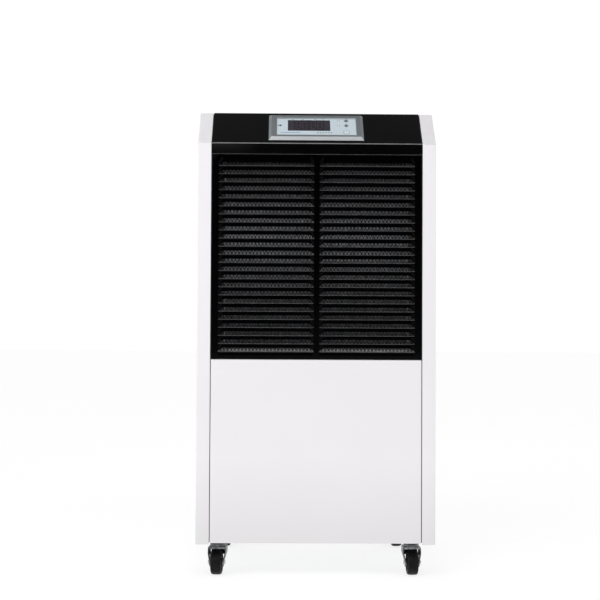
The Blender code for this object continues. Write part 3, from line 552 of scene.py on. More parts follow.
def make_lower_panel():
    """Plain white service door below the grille, and dark strips behind its side seams as painted shade."""
    reveal = Vector((REVEAL, 0.0, 0.0))
    bm = folded_pan(PANEL_LOW + reveal, PANEL_HIGH - reveal, FRONT, FRONT + FOLD, DOOR_BEND)
    panel = piece("lower_front_panel_sheet", mesh_of(bm, outward=False), "white_enamel",
                  "lower_front_panel", smooth=20.0)
    thicken(panel, SHEET)
    soften(panel, 0.0002, 1, 60.0)
    # Painted shade: dark strips behind the side seams stand in for the shade inside them.
    near, far, margin = CENTRE_HALF - 0.0002, CENTRE_HALF + 0.0030, 0.002
    strips = [block((left, FRONT + 0.0014, PANEL_LOW.z + margin),
                    (right, FRONT + 0.0030, PANEL_HIGH.z - margin))
              for left, right in ((-far, -near), (near, far))]
    piece("door_seam_shade_strips", merged(strips), "black_plastic", "lower_front_panel", stands_for=False)


def cover_path():
    """Cover's side view, from the bottom of the front skirt over the top to the rear skirt."""
    top = COVER_HIGH.z
    bend = top - SET_BACK
    halfway = (FRONT + 0.5 * SET_BACK, bend + 0.5 * SET_BACK)
    front_skirt = (FRONT, COVER_LOW.z)
    rear_skirt = (REAR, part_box("rear_panel")[1].z + 0.001)
    return (rounded_path([front_skirt, (FRONT, bend), halfway], 0.0030, 6)
            + rounded_path([halfway, (FRONT + SET_BACK, top), (REAR, top), rear_skirt], 0.006, 10)[1:])


def make_cover():
    """Black bent sheet: front skirt, sloped control face, top and rear skirt."""
    path = cover_path()
    rim = 0.0012
    ends = []
    for step in range(4):
        turn = math.radians(90.0 * step / 3.0)
        ends.append((CENTRE_HALF - rim * (1.0 - math.sin(turn)), rim * (1.0 - math.cos(turn))))
    sections = []
    for x, inset in [(-x, inset) for x, inset in reversed(ends)] + ends:
        section = []
        for index, point in enumerate(path):
            along = (path[min(index + 1, len(path) - 1)] - path[max(index - 1, 0)]).normalized()
            inward = Vector((along.y, -along.x)) * inset
            section.append((x, point.x + inward.x, point.y + inward.y))
        sections.append(section)
    bm = loft(sections, capped=False, closed=False)
    face_towards(bm, (0.0, 0.0, 1.0))
    bend = COVER_HIGH.z - SET_BACK
    # Painted highlight: faces along the bend above the skirt get the lighter black.
    for face in bm.faces:
        middle = face.calc_center_median()
        on_bend = abs(middle.z - bend) < 0.0011 and middle.y < FRONT + 0.0016
        face.material_index = 1 if on_bend else 0
    cover = piece("top_cover_sheet", mesh_of(bm, outward=False), "black_enamel", "top_cover", smooth=25.0)
    cover.data.materials.append(FINISH["cover_bend_highlight_black"])
    thicken(cover, SHEET)
    apply_modifiers(cover)
    drill(cover, moved(block((-0.084, 0.020, -0.010), (0.082, 0.082, 0.010)), SLOPE))
    cover.data.set_sharp_from_angle(angle=math.radians(25.0))


# ------------------------------------------------------------------ front grille and filter
def louvre_levels():
    """Bottom and top of each louvre's slot."""
    return [(LOWEST_LOUVRE + row * LOUVRE_PITCH, LOWEST_LOUVRE + row * LOUVRE_PITCH + LOUVRE_HEIGHT)
            for row in range(LOUVRE_ROWS)]


def stitcher(bm):
    """Two functions: one gives the vertex at a point, the other joins two rows of points by faces."""
    known = {}

    def at(point):
        key = tuple(round(value, 6) for value in point)
        if key not in known:
            known[key] = bm.verts.new(point)
        return known[key]

    def strip(first, second):
        for corners in zip(first, first[1:], second[1:], second):
            corners = list(dict.fromkeys([at(corner) for corner in corners]))
            if len(corners) > 2:
                bm.faces.new(corners)

    return at, strip


def add_louvre(strip, xs, bottom, top):
    """Rolled lip below a slot and hood pressed in above it, both running out towards the slot's ends."""
    lip_rows = [[(x, FRONT, bottom - LIP) for x in xs]]
    for angle in (22.5, 45.0, 67.5, 90.0, 112.0):
        turn = math.radians(angle)
        row = []
        for x in xs:
            full = min(min(x - xs[0], xs[-1] - x) / 0.003, 1.0) ** 0.7
            back = LIP * (1.0 - math.cos(turn)) * full
            row.append((x, FRONT + back, bottom - LIP + math.sin(turn) * LIP))
        lip_rows.append(row)
    hood_rows = [[(x, FRONT, top) for x in xs]]
    tip_low = bottom + 0.0012
    for share in (0.10, 0.28, 0.52, 0.76, 1.0):
        row = []
        for x in xs:
            full = min(min(x - xs[0], xs[-1] - x) / RAMP, 1.0)
            full = full * full * (3.0 - 2.0 * full) * 0.5 + full * 0.5
            tip_z = tip_low + (top - HOOD_DROP - tip_low) * full
            row.append((x, FRONT + HOOD_DEPTH * full * share ** 1.15, top + (tip_z - top) * share))
        hood_rows.append(row)
    for rows in (lip_rows, hood_rows):
        for first, second in zip(rows, rows[1:]):
            strip(first, second)


def add_grille_rim(strip, xs, zs):
    """Edges of the grille's face turned back along a fold."""
    loop = ([(x, zs[0]) for x in xs] + [(xs[-1], z) for z in zs[1:]]
            + [(x, zs[-1]) for x in reversed(xs[:-1])] + [(xs[0], z) for z in reversed(zs[1:-1])])
    turns = [math.radians(angle) for angle in (0.0, 22.5, 45.0, 67.5, 90.0)]
    folds = [(GRILLE_BEND * math.sin(turn), GRILLE_BEND * (1.0 - math.cos(turn))) for turn in turns]
    folds.append((GRILLE_BEND, FOLD))
    rings = []
    for out, back in folds:
        ring = []
        for x, z in loop:
            side = -1.0 if x == xs[0] else 1.0 if x == xs[-1] else 0.0
            end = -1.0 if z == zs[0] else 1.0 if z == zs[-1] else 0.0
            ring.append((x + side * out, FRONT + back, z + end * out))
        rings.append(ring + ring[:1])
    for first, second in zip(rings, rings[1:]):
        strip(first, second)


def on_painted_highlight(middle):
    """Whether a face of the grille lies on a louvre's lip or on the folds at its top and sides, where a
    painted highlight goes.
    """
    row = (middle.z - LOWEST_LOUVRE) % LOUVRE_PITCH
    on_lip = row > LOUVRE_PITCH - 0.0010 and FRONT + 0.0002 < middle.y < FRONT + LIP
    on_fold = FRONT + 0.0001 < middle.y < FRONT + GRILLE_BEND
    at_rim = middle.z > GRILLE_HIGH.z - 0.0012 or abs(middle.x) > CENTRE_HALF - 0.0008
    return on_lip or on_fold and at_rim


def make_grille():
    """Folded sheet with two columns of louvres pressed inwards."""
    bm = bmesh.new()
    strip = stitcher(bm)[1]
    ramps = [RAMP * step / 8.0 for step in range(9)]
    columns = [[left + x for x in ramps] + [right - x for x in reversed(ramps)]
               for left, right in LOUVRE_COLUMNS]
    (first_left, first_right), (second_left, second_right) = LOUVRE_COLUMNS
    borders = [[GRILLE_BEND - CENTRE_HALF, first_left], [first_right, second_left],
               [second_right, CENTRE_HALF - GRILLE_BEND]]
    levels = [GRILLE_LOW.z + GRILLE_BEND]
    for bottom, top in louvre_levels():
        levels += [bottom - LIP, top]
    levels.append(GRILLE_HIGH.z - GRILLE_BEND)
    for index, (bottom, top) in enumerate(zip(levels, levels[1:])):
        for xs in borders + (columns if index % 2 == 0 else []):
            strip([(x, FRONT, bottom) for x in xs], [(x, FRONT, top) for x in xs])
    for xs in columns:
        for bottom, top in louvre_levels():
            add_louvre(strip, xs, bottom, top)
    add_grille_rim(strip, sorted({round(x, 6) for xs in borders + columns for x in xs}),
                   [round(z, 6) for z in levels])

    face_towards(bm, (0.0, -1.0, 0.0))
    # Painted highlight: lip and fold faces get the lighter black.
    for face in bm.faces:
        face.material_index = 1 if on_painted_highlight(face.calc_center_median()) else 0
    grille = piece("front_grille_louvres", mesh_of(bm, outward=False), "grille_black", "front_grille",
                   smooth=50.0)
    grille.data.materials.append(FINISH["grille_highlight_black"])
    thicken(grille, 0.0008, even=False)
    apply_modifiers(grille)
    for vert in grille.data.vertices:
        vert.co.y = max(vert.co.y, FRONT)


def make_filter():
    """Expanded-metal filter screen in its channel frame."""
    low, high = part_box("filter_mesh")
    strand = 0.0010
    count_x = int((high.x - low.x) / 0.0072)
    count_z = int((high.z - low.z) / 0.0130)
    across, tall = (high.x - low.x) / count_x, (high.z - low.z) / count_z
    narrow, short = 1.0 - 2.2 * strand / across, 1.0 - 2.6 * strand / tall
    middle = (low.y + high.y) / 2.0
    tilt = (high.y - low.y) * 0.22
    diamond = [(across / 2.0, 0.0), (0.0, tall / 2.0), (-across / 2.0, 0.0), (0.0, -tall / 2.0)]
    bm = bmesh.new()
    at = stitcher(bm)[0]
    for row in range(2 * count_z - 1):
        for column in range(count_x - row % 2):
            x = low.x + (column + 0.5 + 0.5 * (row % 2)) * across
            z = low.z + 0.5 * (row + 1) * tall
            ring = [at((x + a, middle, z + b)) for a, b in diamond]
            hole = [at((x + a * narrow, middle + (tilt if a > 0.0 or b > 0.0 else -tilt), z + b * short))
                    for a, b in diamond]
            for index in range(4):
                bm.faces.new((ring[index], ring[index - 1], hole[index - 1], hole[index]))
    screen = piece("filter_mesh_screen", bm, "mesh_metal", "filter_mesh", smooth=20.0)
    thicken(screen, 0.0005, 0.0)
    refined("filter_frame", edge=0.0006)


# ------------------------------------------------------------------ control panel
def level(outline, height):
    """Outline at a height above the sloped face."""
    return [(x, y, height) for x, y in outline]


def oblong(left, right, low, high, radius=0.0008):
    return rounded_rectangle(left, right, low, high, radius, 3)


def make_bezel():
    """Silver bezel with a wide chamfer outside and a recess for the faceplate inside."""
    outer = (-0.098, 0.095, 0.0094, 0.0930)
    inner = (-0.0818, 0.0803, 0.0209, 0.0775)
    chamfer, crown, foot, seat = 0.006, 0.0063, 0.0003, 0.0030

    def grown(sides, amount, radius, height):
        left, right, low, high = sides
        return level(oblong(left - amount, right + amount, low - amount, high + amount, radius), height)

    outside = [(0.0, foot), (0.0, 0.0006), (0.0006 - chamfer, crown - 0.0001), (0.0002 - chamfer, crown)]
    inside = [(0.0009, 0.0012, crown), (0.0003, 0.0008, crown - 0.0003), (0.0, 0.0006, crown - 0.0009),
              (0.0, 0.0006, seat), (-0.0028, 0.0006, seat), (-0.0028, 0.0006, foot)]
    sections = [grown(outer, amount, 0.0004, height) for amount, height in outside]
    sections += [grown(inner, amount, radius, height) for amount, radius, height in inside]
    sections.append(sections[0])
    bm = loft(sections, capped=False)
    bmesh.ops.remove_doubles(bm, verts=bm.verts, dist=1e-7)
    bm.normal_update()
    # Painted highlight: the bottom chamfer's faces get the brighter silver.
    for face in bm.faces:
        at_bottom = face.calc_center_median().y < outer[2] + chamfer
        face.material_index = 1 if at_bottom and abs(face.normal.y) > 0.5 else 0
    bezel = piece("display_bezel_frame", moved(bm, SLOPE), "silver_paint", "display_bezel", smooth=25.0)
    bezel.data.materials.append(FINISH["bezel_highlight_silver"])


def digit(x, y):
    """Seven bars of one unlit digit, with its lower left corner at x and y."""
    wide, tall, thick, gap = 0.0105, 0.0215, 0.0016, 0.00015
    half = tall / 2.0
    upright = half - 1.5 * thick
    bars = [(0.0, 0.0, wide, thick), (0.0, half - thick / 2.0, wide, thick), (0.0, tall - thick, wide, thick)]
    for left in (0.0, wide - thick):
        bars += [(left, thick, thick, upright), (left, half + thick / 2.0, thick, upright)]
    return [block((x + a + gap, y + b + gap, PRINT_HIGH),
                  (x + a + c - gap, y + b + d - gap, PRINT_HIGH + 0.00008))
            for a, b, c, d in bars]


def make_print():
    """Plain printed marks, a stripe and lamps on the faceplate."""
    marks = [block((x - 0.0013, 0.0285, PRINT_LOW), (x + 0.0013, 0.0307, PRINT_HIGH))
             for x in (0.002, 0.0075, 0.013, 0.0185, 0.024, 0.0295)]
    marks.append(prism(arc((-0.0745, 0.0540), 0.0027, 0.0, 345.0, 23), "Z", PRINT_LOW, PRINT_HIGH))
    marks.append(block((-0.0794, 0.0516, PRINT_LOW), (-0.0782, 0.0564, PRINT_HIGH)))
    marks += [block((x, 0.0741, PRINT_LOW), (x + width, 0.0749, PRINT_HIGH))
              for x, width in ((-0.052, 0.006), (-0.030, 0.004), (-0.006, 0.006), (0.012, 0.004))]
    line = 0.00045
    for y, radius in ((0.0707, 0.0044), (0.0541, 0.0044), (0.0313, 0.0060)):
        marks.append(turned([(radius, PRINT_LOW), (radius + line, PRINT_LOW), (radius + line, PRINT_HIGH),
                             (radius, PRINT_HIGH)], "Z", (KEY_X, y), 48))
    piece("faceplate_marks", moved(merged(marks), SLOPE), "ink", "display_faceplate", stands_for=False)
    stripe = block((-0.0740, 0.0288, PRINT_LOW), (-0.0340, 0.0303, PRINT_HIGH))
    piece("faceplate_stripe", moved(stripe, SLOPE), "blue_ink", "display_faceplate", stands_for=False)
    lamps = [prism(arc((x, y), 0.0011, 0.0, 330.0, 11), "Z", PRINT_LOW, PRINT_FACE + 0.0002)
             for x, y in ((0.0420, 0.0541), (0.0465, 0.0541), (0.0420, 0.0707), (0.0465, 0.0707))]
    piece("faceplate_lamps", moved(merged(lamps), SLOPE), "red_ink", "display_faceplate", stands_for=False)


def key_cap(y, radius):
    """Plunger, collar and slightly dished cap of a key."""
    collar, stem = 0.0030, radius - 0.0008
    profile = [(0.0, PLUNGER_END), (stem, PLUNGER_END), (stem, 0.0020), (radius + 0.0005, 0.0020),
               (radius + 0.0005, collar), (radius, collar), (radius, KEY_TOP - 0.0005),
               (radius - 0.0001, KEY_TOP - 0.00025), (radius - 0.0003, KEY_TOP - 0.00008),
               (radius - 0.0006, KEY_TOP), (radius * 0.5, KEY_TOP - 0.00015), (0.0, KEY_TOP - 0.0002)]
    return turned(profile, "Z", (KEY_X, y), 48)


def power_mark(y):
    """Open ring with a stroke at its top."""
    radius, line, height = 0.0017, 0.00018, KEY_TOP - 0.0001
    angles = [math.radians(angle) for angle in range(35, 326, 10)]
    ring = [(KEY_X + radius * math.sin(angle), y + radius * math.cos(angle), height) for angle in angles]
    stroke = [(KEY_X, y + 0.0005, height), (KEY_X, y + 0.0022, height)]
    return merged([tube(ring, line, 6), tube(stroke, line, 6)])


def arrow_mark(y, point):
    """Arrow head that points up or down the slope."""
    outline = [(KEY_X - 0.0011, y - 0.0007 * point), (KEY_X + 0.0011, y - 0.0007 * point),
               (KEY_X, y + 0.0012 * point)]
    return prism(outline, "Z", KEY_TOP - 0.0004, KEY_TOP - 0.00005)


def make_controls():
    """Bezel, faceplate with its print, window with its unlit display, and three keys."""
    make_bezel()
    refined("display_faceplate", edge=0.00025)
    refined("display_window", edge=0.0004)
    refined("control_board", edge=0.0002)

    field = block((-0.0470, 0.0400, PRINT_LOW), (0.0150, 0.0690, PRINT_HIGH + 0.00002))
    piece("display_led_field", moved(field, SLOPE), "led_panel", "display_window", stands_for=False)
    bars = [bar for x in (-0.0435, -0.0300, -0.0125, 0.0010) for bar in digit(x, 0.0435)]
    piece("display_segments", moved(merged(bars), SLOPE), "led_segment", "display_window", stands_for=False)
    make_print()
    for name, y, radius in KEYS:
        pale = name == "power_button"
        piece(name + "_cap", moved(key_cap(y, radius), SLOPE), "pale_key" if pale else "dark_key", name)
        mark = power_mark(y) if pale else arrow_mark(y, 1.0 if name == "up_button" else -1.0)
        piece(name + "_mark", moved(mark, SLOPE), "ink" if pale else "pale_key", name, stands_for=False)


# ------------------------------------------------------------------ casters
FORK_HALF = 0.0168            # half the width of a fork's crown
FORK_FRONT, FORK_BACK = -0.0185, 0.0165
CROWN_LOW, CROWN_HIGH = 0.0512, 0.0554
RACE_TOP = 0.0612


def caster_plate(name, post):
    """Mounting plate with its domed race and four bolt heads."""
    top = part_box("caster_plate_" + name)[1].z
    outline = rounded_rectangle(post.x - 0.022, post.x + 0.022, post.y - 0.030, post.y + 0.030, 0.005, 5)
    plate = prism(outline, "Z", top - 0.0022, top)
    dome_low = RACE_TOP + 0.0003
    dome = turned([(0.0, dome_low), (0.0165, dome_low), (0.0175, dome_low + 0.0006),
                   (0.0180, dome_low + 0.0017), (0.0180, top - 0.001), (0.0, top - 0.001)],
                  "Z", (post.x, post.y), 48)
    bolts = []
    for x in (-0.0165, 0.0165):
        for y in (-0.0235, 0.0235):
            bolts.append(turned([(0.0, 0.0664), (0.0030, 0.0664), (0.0034, 0.0668), (0.0034, top - 0.0015),
                                 (0.0, top - 0.0015)], "Z", (post.x + x, post.y + y), 16))
    return merged([plate, dome] + bolts)


def fork_cheek(side, trail, height):
    """Side of a fork: sheet that drops from the crown to the axle's boss and closes in on the wheel."""
    boss = arc((-trail, height), 0.009, 160.0, 320.0, 14)
    outline = ([(FORK_FRONT, CROWN_HIGH - 0.0006), (FORK_FRONT, 0.046)] + boss
               + [(FORK_BACK, 0.042), (FORK_BACK, CROWN_HIGH - 0.0006)])
    cheek = prism(outline, "X", -0.0010, 0.0010)
    bmesh.ops.triangulate(cheek, faces=[face for face in cheek.faces if len(face.verts) > 4])
    for step in range(14):
        geometry = cheek.verts[:] + cheek.edges[:] + cheek.faces[:]
        bmesh.ops.bisect_plane(cheek, geom=geometry, plane_co=(0.0, 0.0, 0.020 + 0.0025 * step),
                               plane_no=(0.0, 0.0, 1.0))
    for vert in cheek.verts:
        spread = min(max((vert.co.z - 0.026) / 0.017, 0.0), 1.0)
        shoulder = max(vert.co.z - 0.0525, 0.0) / 0.0030
        vert.co.x += side * (0.0136 + 0.0036 * spread - 0.0012 * shoulder * shoulder)
    return cheek


def caster_fork(trail, height):
    """Two cheeks, the crown over the wheel, the web behind it and the race under the plate."""
    parts = [fork_cheek(side, trail, height) for side in (-1.0, 1.0)]
    parts.append(block((-FORK_HALF, FORK_FRONT, CROWN_LOW), (FORK_HALF, FORK_BACK, CROWN_HIGH)))
    web = [(0.0160, 0.0520), (0.0160, 0.0425), (0.0100, 0.0360), (0.0086, 0.0372), (0.0146, 0.0436),
           (0.0146, 0.0520)]
    parts.append(prism(web, "X", -0.0150, 0.0150))
    parts.append(turned([(0.0, 0.0540), (0.0158, 0.0540), (0.0158, 0.0600), (0.0152, 0.0609),
                         (0.0140, RACE_TOP), (0.0, RACE_TOP)], "Z", (0.0, 0.0), 48))
    return merged(parts)


def caster_bolt():
    """Axle bolt with a washer and a hexagon at each end."""
    shank = 0.0149
    parts = [turned([(0.0, -shank), (0.0029, -shank), (0.0029, shank), (0.0, shank)], "X", sides=24)]
    for side in (-1.0, 1.0):
        washer = [(0.0, 0.0147), (0.0050, 0.0147), (0.0050, 0.0154), (0.0, 0.0154)]
        nut = [(0.0, 0.0153), (0.0045, 0.0153), (0.0045, 0.0173), (0.0038, 0.0178), (0.0, 0.0178)]
        for profile, sides in ((washer, 32), (nut, 6)):
            parts.append(turned([(radius, side * along) for radius, along in profile], "X", sides=sides))
    return merged(parts)


def caster_wheel():
    """Moulded wheel with a hub, dished sides with five spokes, and a rounded tread."""
    half = [(0.0034, 0.0114), (0.0062, 0.0114), (0.0072, 0.0108), (0.0080, 0.0090), (0.0100, 0.0084),
            (0.0168, 0.0086), (0.0182, 0.0094), (0.0196, 0.0108), (0.0212, 0.0110), (0.0228, 0.0105),
            (0.0240, 0.0092), (0.0247, 0.0072), (0.0250, 0.0040)]
    parts = [turned(half + [(radius, -along) for radius, along in reversed(half)], "X", sides=72)]
    for side in (-1.0, 1.0):
        for index in range(5):
            spoke = block((side * 0.0084 - 0.0006, -0.0010, 0.0078), (side * 0.0084 + 0.0006, 0.0010, 0.0182))
            parts.append(moved(spoke, Matrix.Rotation(2.0 * math.pi * index / 5, 4, "X")))
    return merged(parts)


def make_casters():
    """Plate and race, fork that swivels, bolt with its nut, and moulded wheel of each caster."""
    joints = {joint["name"]: joint for joint in frame["joints"]}
    for roll in [name for name in joints if name.endswith("_roll")]:
        name = roll[:-len("_roll")]
        wheel_place, post = Vector(joints[roll]["pos_m"]), Vector(joints[name + "_swivel"]["pos_m"])
        turn = math.atan2(joints[roll]["axis"][1], joints[roll]["axis"][0])
        local = Matrix.Translation((post.x, post.y, 0.0)) @ Matrix.Rotation(turn, 4, "Z")
        trail, height = (wheel_place.xy - post.xy).length, wheel_place.z
        axle_place = local @ Matrix.Translation((0.0, -trail, height))

        made = piece("caster_plate_pressing_" + name, caster_plate(name, post), "dark_zinc",
                     "caster_plate_" + name)
        soften(made, 0.0003)
        made = piece("caster_fork_pressing_" + name, moved(caster_fork(trail, height), local), "zinc",
                     "caster_fork_" + name, smooth=40.0)
        soften(made, 0.0004)
        made = piece("caster_bolt_" + name, moved(caster_bolt(), axle_place), "steel", "caster_axle_" + name)
        soften(made, 0.0002)
        piece("caster_wheel_moulding_" + name, moved(caster_wheel(), axle_place), "tyre",
              "caster_wheel_" + name, smooth=28.0)


# ------------------------------------------------------------------ back
def rear_screws(low, high, face):
    """Heads of the screws down both sides of a rear panel, and the cross slots to cut into them."""
    heads, slots = [], []
    long, narrow, deep, proud = 0.0022, 0.0004, face + 0.0012, face + 0.003
    for x in (low.x + 0.010, high.x - 0.010):
        for share in (0.08, 0.5, 0.92):
            z = low.z + (high.z - low.z) * share
            heads.append(turned([(0.0, face - 0.0005), (0.0036, face - 0.0005), (0.0036, face + 0.0008),
                                 (0.0028, face + 0.0017), (0.0010, face + 0.0021), (0.0, face + 0.0021)],
                                "Y", (x, z), 24))
            slots.append(block((x - long, deep, z - narrow), (x + long, proud, z + narrow)))
            slots.append(block((x - narrow, deep, z - long), (x + narrow, proud, z - narrow - 0.0001)))
            slots.append(block((x - narrow, deep, z + narrow + 0.0001), (x + narrow, proud, z + long)))
    return heads, slots


def make_rear_panels():
    """Upper panel with the fan's outlet, lower one with holes for spigot and gland, and their screws."""
    for node in ("rear_panel", "rear_service_panel"):
        low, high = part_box(node)
        face = high.y
        bm = folded_pan(low, high, face, face - FOLD, REAR_BEND)
        panel = piece(node + "_sheet", mesh_of(bm, outward=False), "white_enamel", node, smooth=20.0)
        thicken(panel, SHEET)
        apply_modifiers(panel)
        holes = [((0.0, FAN_Z), OUTLET, 96)]
        if node == "rear_service_panel":
            holes = []
            for name in ("drain_spigot", "cable_gland"):
                first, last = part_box(name)
                holes.append((((first.x + last.x) / 2.0, (first.z + last.z) / 2.0), 0.0084, 32))
        for place, radius, sides in holes:
            outline = arc(place, radius, 0.0, 360.0 * (sides - 1) / sides, sides - 1)
            drill(panel, prism(outline, "Y", face - 0.004, face + 0.004))
        panel.data.set_sharp_from_angle(angle=math.radians(20.0))
        soften(panel, 0.0003, 2, 50.0)
        heads, slots = rear_screws(low, high, face)
        screws = piece(node + "_screws", merged(heads), "steel", node, stands_for=False)
        drill(screws, merged(slots))


def make_guard():
    """Wire guard: rings on four pairs of bent spokes, with a plain boss in the middle."""
    low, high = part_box("fan_guard")
    ring_y, spoke_y, reach = high.y - 0.0022, low.y + 0.0074, high.x
    wires = []
    for index in range(11):
        radius = 0.030 + index * 0.0126
        wires.append(tube([(x, ring_y, z) for x, z in arc((0.0, FAN_Z), radius, 0.0, 355.0, 71)], 0.0011, 8,
                          closed=True))
    for angle in (0.0, 90.0, 180.0, 270.0):
        x, z = math.cos(math.radians(angle)), math.sin(math.radians(angle))
        for shift in (-0.0026, 0.0026):
            bends = ((0.012, spoke_y), (reach - 0.006, spoke_y), (reach - 0.0016, low.y + 0.0016))
            path = [(x * along - z * shift, y, FAN_Z + z * along + x * shift) for along, y in bends]
            wires.append(tube(rounded_path(path, 0.003, 5), 0.0013, 8))
    wires.append(turned([(0.0, ring_y - 0.0012), (0.0215, ring_y - 0.0012), (0.0225, ring_y - 0.0004),
                         (0.0215, high.y - 0.0006), (0.0190, high.y), (0.0, high.y - 0.0003)],
                        "Y", (0.0, FAN_Z), 64))
    piece("fan_guard_wires", merged(wires), "steel", "fan_guard", smooth=50.0)


def make_back():
    """Rear panels, wire guard over the outlet, fan, spigot and gland, and the hand grips in the sides."""
    make_rear_panels()
    make_guard()
    for node, edge, angle in (("fan_rotor", 0.0006, 40.0), ("fan_shroud", 0.0006, 40.0),
                              ("drain_spigot", 0.0003, 40.0), ("cable_gland", 0.0004, 40.0),
                              ("left_hand_grip", 0.0008, 30.0), ("right_hand_grip", 0.0008, 30.0)):
        made = refined(node, edge=edge)
        made.data.set_sharp_from_angle(angle=math.radians(angle))


# ------------------------------------------------------------------ coils and machinery
def coil_fins(half, depth, y, bottom, top):
    """Wavy fins side by side, so that there is no straight view between them."""
    wave, pitch, waves = 0.0013, 0.0028, 8
    fins = bmesh.new()
    count = int(2.0 * half / pitch)
    for index in range(count):
        x = -half + (index + 0.5) * 2.0 * half / count
        before = None
        for step in range(waves + 1):
            place = (x + (wave if step % 2 else -wave), y - depth / 2.0 + depth * step / waves)
            pair = [fins.verts.new((*place, bottom)), fins.verts.new((*place, top))]
            if before:
                fins.faces.new((before[0], pair[0], pair[1], before[1]))
            before = pair
    return fins


def make_coils():
    """Two finned coils: wavy fins between end plates, with the return bends of their tubes."""
    half, depth, plate = 0.185, 0.044, 0.002
    rows, tube_pitch, tube_radius = 14, 0.025, 0.0047
    for node in ("evaporator_coil", "condenser_coil"):
        low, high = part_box(node)
        y = (low.y + high.y) / 2.0
        bottom, top = low.z + 0.0266, high.z - plate
        fins = coil_fins(half, depth, y, bottom, top)
        made = piece(node + "_fins", mesh_of(fins, outward=False), "aluminium", node, smooth=60.0)
        thicken(made, 0.0002, 0.0)

        plates, tubes = [], []
        first_tube = bottom + 0.0315
        for side in (-1.0, 1.0):
            near, far = sorted((side * (half - 0.0005), side * (half + 0.0015)))
            plates.append(block((near, low.y, low.z), (far, high.y, high.z)))
            for row in range(1 if side > 0.0 else 0, rows - 1, 2):
                middle = first_tube + (row + 0.5) * tube_pitch
                loop = arc((half + 0.001, middle), tube_pitch / 2.0, -90.0, 90.0, 12)
                tubes.append(tube([(side * x, y, z) for x, z in loop], tube_radius, 12))
        for row in range(rows):
            z = first_tube + row * tube_pitch
            tubes.append(tube([(-half, y, z), (half, y, z)], tube_radius - 0.0002, 12))
        made = piece(node + "_end_plates", merged(plates), "galvanised", node, stands_for=False)
        soften(made, 0.0003)
        piece(node + "_tubes", merged(tubes), "copper", node, stands_for=False, smooth=60.0)


def make_inside():
    """Everything behind the panels, in its own shape with eased edges."""
    done = {name for made in bpy.context.scene.objects for name in made.get("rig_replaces", [])}
    for node in frame["nodes"]:
        if node not in done:
            made = refined(node, edge=0.0003)
            made.data.set_sharp_from_angle(angle=math.radians(50.0))


# ------------------------------------------------------------------ stage
def make_world():
    """White backdrop for the camera; for the object a room bright around it and dim in front and above."""
    world = bpy.data.worlds.new("studio")
    bpy.context.scene.world = world
    world.use_nodes = True
    nodes, links = world.node_tree.nodes, world.node_tree.links
    axes = split_axes(nodes, links, nodes.new("ShaderNodeTexCoord").outputs["Generated"])

    def along(axis, low, high, to_low, to_high):
        return ranged(nodes, links, axes[axis], low, high, to_low, to_high)

    height = along("Z", 0.10, 0.90, 1.21, 0.30)
    sides = along("X", -1.0, 1.0, 1.22, 0.84)
    behind = along("Y", 0.0, 1.0, 1.0, 0.80)
    front = along("Y", -0.92, -0.74, 0.05, 1.0)
    room = height
    for factor in (sides, joined(nodes, links, "MULTIPLY", front, behind)):
        room = joined(nodes, links, "MULTIPLY", room, factor)
    above = joined(nodes, links, "MULTIPLY", along("Z", 0.56, 0.64, 0.0, 1.0),
                   along("Z", 0.80, 0.88, 1.0, 0.0))
    softbox = joined(nodes, links, "MULTIPLY", above, along("Y", -0.60, -0.45, 1.9, 0.0))
    room = joined(nodes, links, "ADD", room, softbox)
    mix = nodes.new("ShaderNodeMix")
    links.new(nodes.new("ShaderNodeLightPath").outputs["Is Camera Ray"], mix.inputs["Factor"])
    links.new(room, mix.inputs["A"])
    mix.inputs["B"].default_value = 1.02
    links.new(mix.outputs["Result"], nodes["Background"].inputs["Strength"])
    nodes["Background"].inputs["Color"].default_value = (1.0, 1.0, 1.0, 1.0)


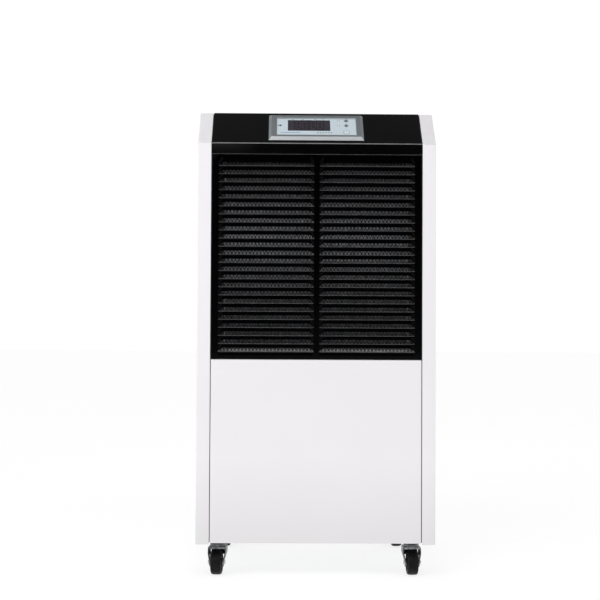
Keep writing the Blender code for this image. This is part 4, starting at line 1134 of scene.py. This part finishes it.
def make_floor():
    """Pale plain floor."""
    bm = bmesh.new()
    bmesh.ops.create_grid(bm, x_segments=1, y_segments=1, size=30.0)
    floor = bpy.data.objects.new("floor", mesh_of(bm))
    bpy.context.scene.collection.objects.link(floor)
    material = bpy.data.materials.new("pale_floor")
    material.use_nodes = True
    inputs = material.node_tree.nodes["Principled BSDF"].inputs
    inputs["Base Color"].default_value = (0.33, 0.33, 0.33, 1.0)
    inputs["Roughness"].default_value = 0.9
    inputs["Specular IOR Level"].default_value = 0.0
    inputs["Emission Color"].default_value = (1.0, 1.0, 1.0, 1.0)
    inputs["Emission Strength"].default_value = 0.765
    floor.data.materials.append(material)


def make_lights():
    """Three soft lights aimed at the middle of the cabinet."""
    for name, place, size, power in (("key", (-1.0, -1.8, 1.8), 1.2, 8.0),
                                     ("fill", (2.6, -2.6, 1.6), 2.0, 3.0),
                                     ("back", (0.6, 3.0, 2.4), 2.2, 3.0)):
        light = bpy.data.lights.new(name, "AREA")
        light.energy = power
        light.shape = "SQUARE"
        light.size = size
        lamp = bpy.data.objects.new(name, light)
        lamp.location = place
        lamp.visible_camera = False
        aim = Vector((0.0, 0.0, 0.5)) - Vector(place)
        lamp.rotation_euler = aim.to_track_quat("-Z", "Y").to_euler()
        bpy.context.scene.collection.objects.link(lamp)


def make_camera():
    """Camera nearly straight in front, at about half the cabinet's height."""
    lens = bpy.data.cameras.new("camera")
    lens.lens = 75.4
    lens.sensor_width = 36.0
    camera = bpy.data.objects.new("camera", lens)
    yaw, pitch, roll = math.radians(0.79), math.radians(1.46), math.radians(0.28)
    right = Vector((math.cos(yaw), -math.sin(yaw), 0.0))
    forward = Vector((math.sin(yaw) * math.cos(pitch), math.cos(yaw) * math.cos(pitch), math.sin(pitch)))
    up = right.cross(forward)
    x_axis = right * math.cos(roll) + up * math.sin(roll)
    y_axis = up * math.cos(roll) - right * math.sin(roll)
    turn = Matrix((x_axis, y_axis, -forward)).transposed()
    camera.matrix_world = Matrix.Translation((-0.068, FRONT - 2.522, 0.493)) @ turn.to_4x4()
    bpy.context.scene.collection.objects.link(camera)
    bpy.context.scene.camera = camera


def make_stage():
    """Floor, surroundings, lights and camera."""
    make_floor()
    make_world()
    make_lights()
    make_camera()
    bpy.context.scene.view_settings.view_transform = "Standard"


def main():
    """Dress the whole frame."""
    for node, part in frame["nodes"].items():
        for material_slot in part.material_slots:
            material_slot.material = FINISH[SLOTS[node]]
    make_stage()
    make_side_panels()
    make_lower_panel()
    make_cover()
    make_grille()
    make_filter()
    make_controls()
    make_casters()
    make_back()
    make_coils()
    make_inside()


main()
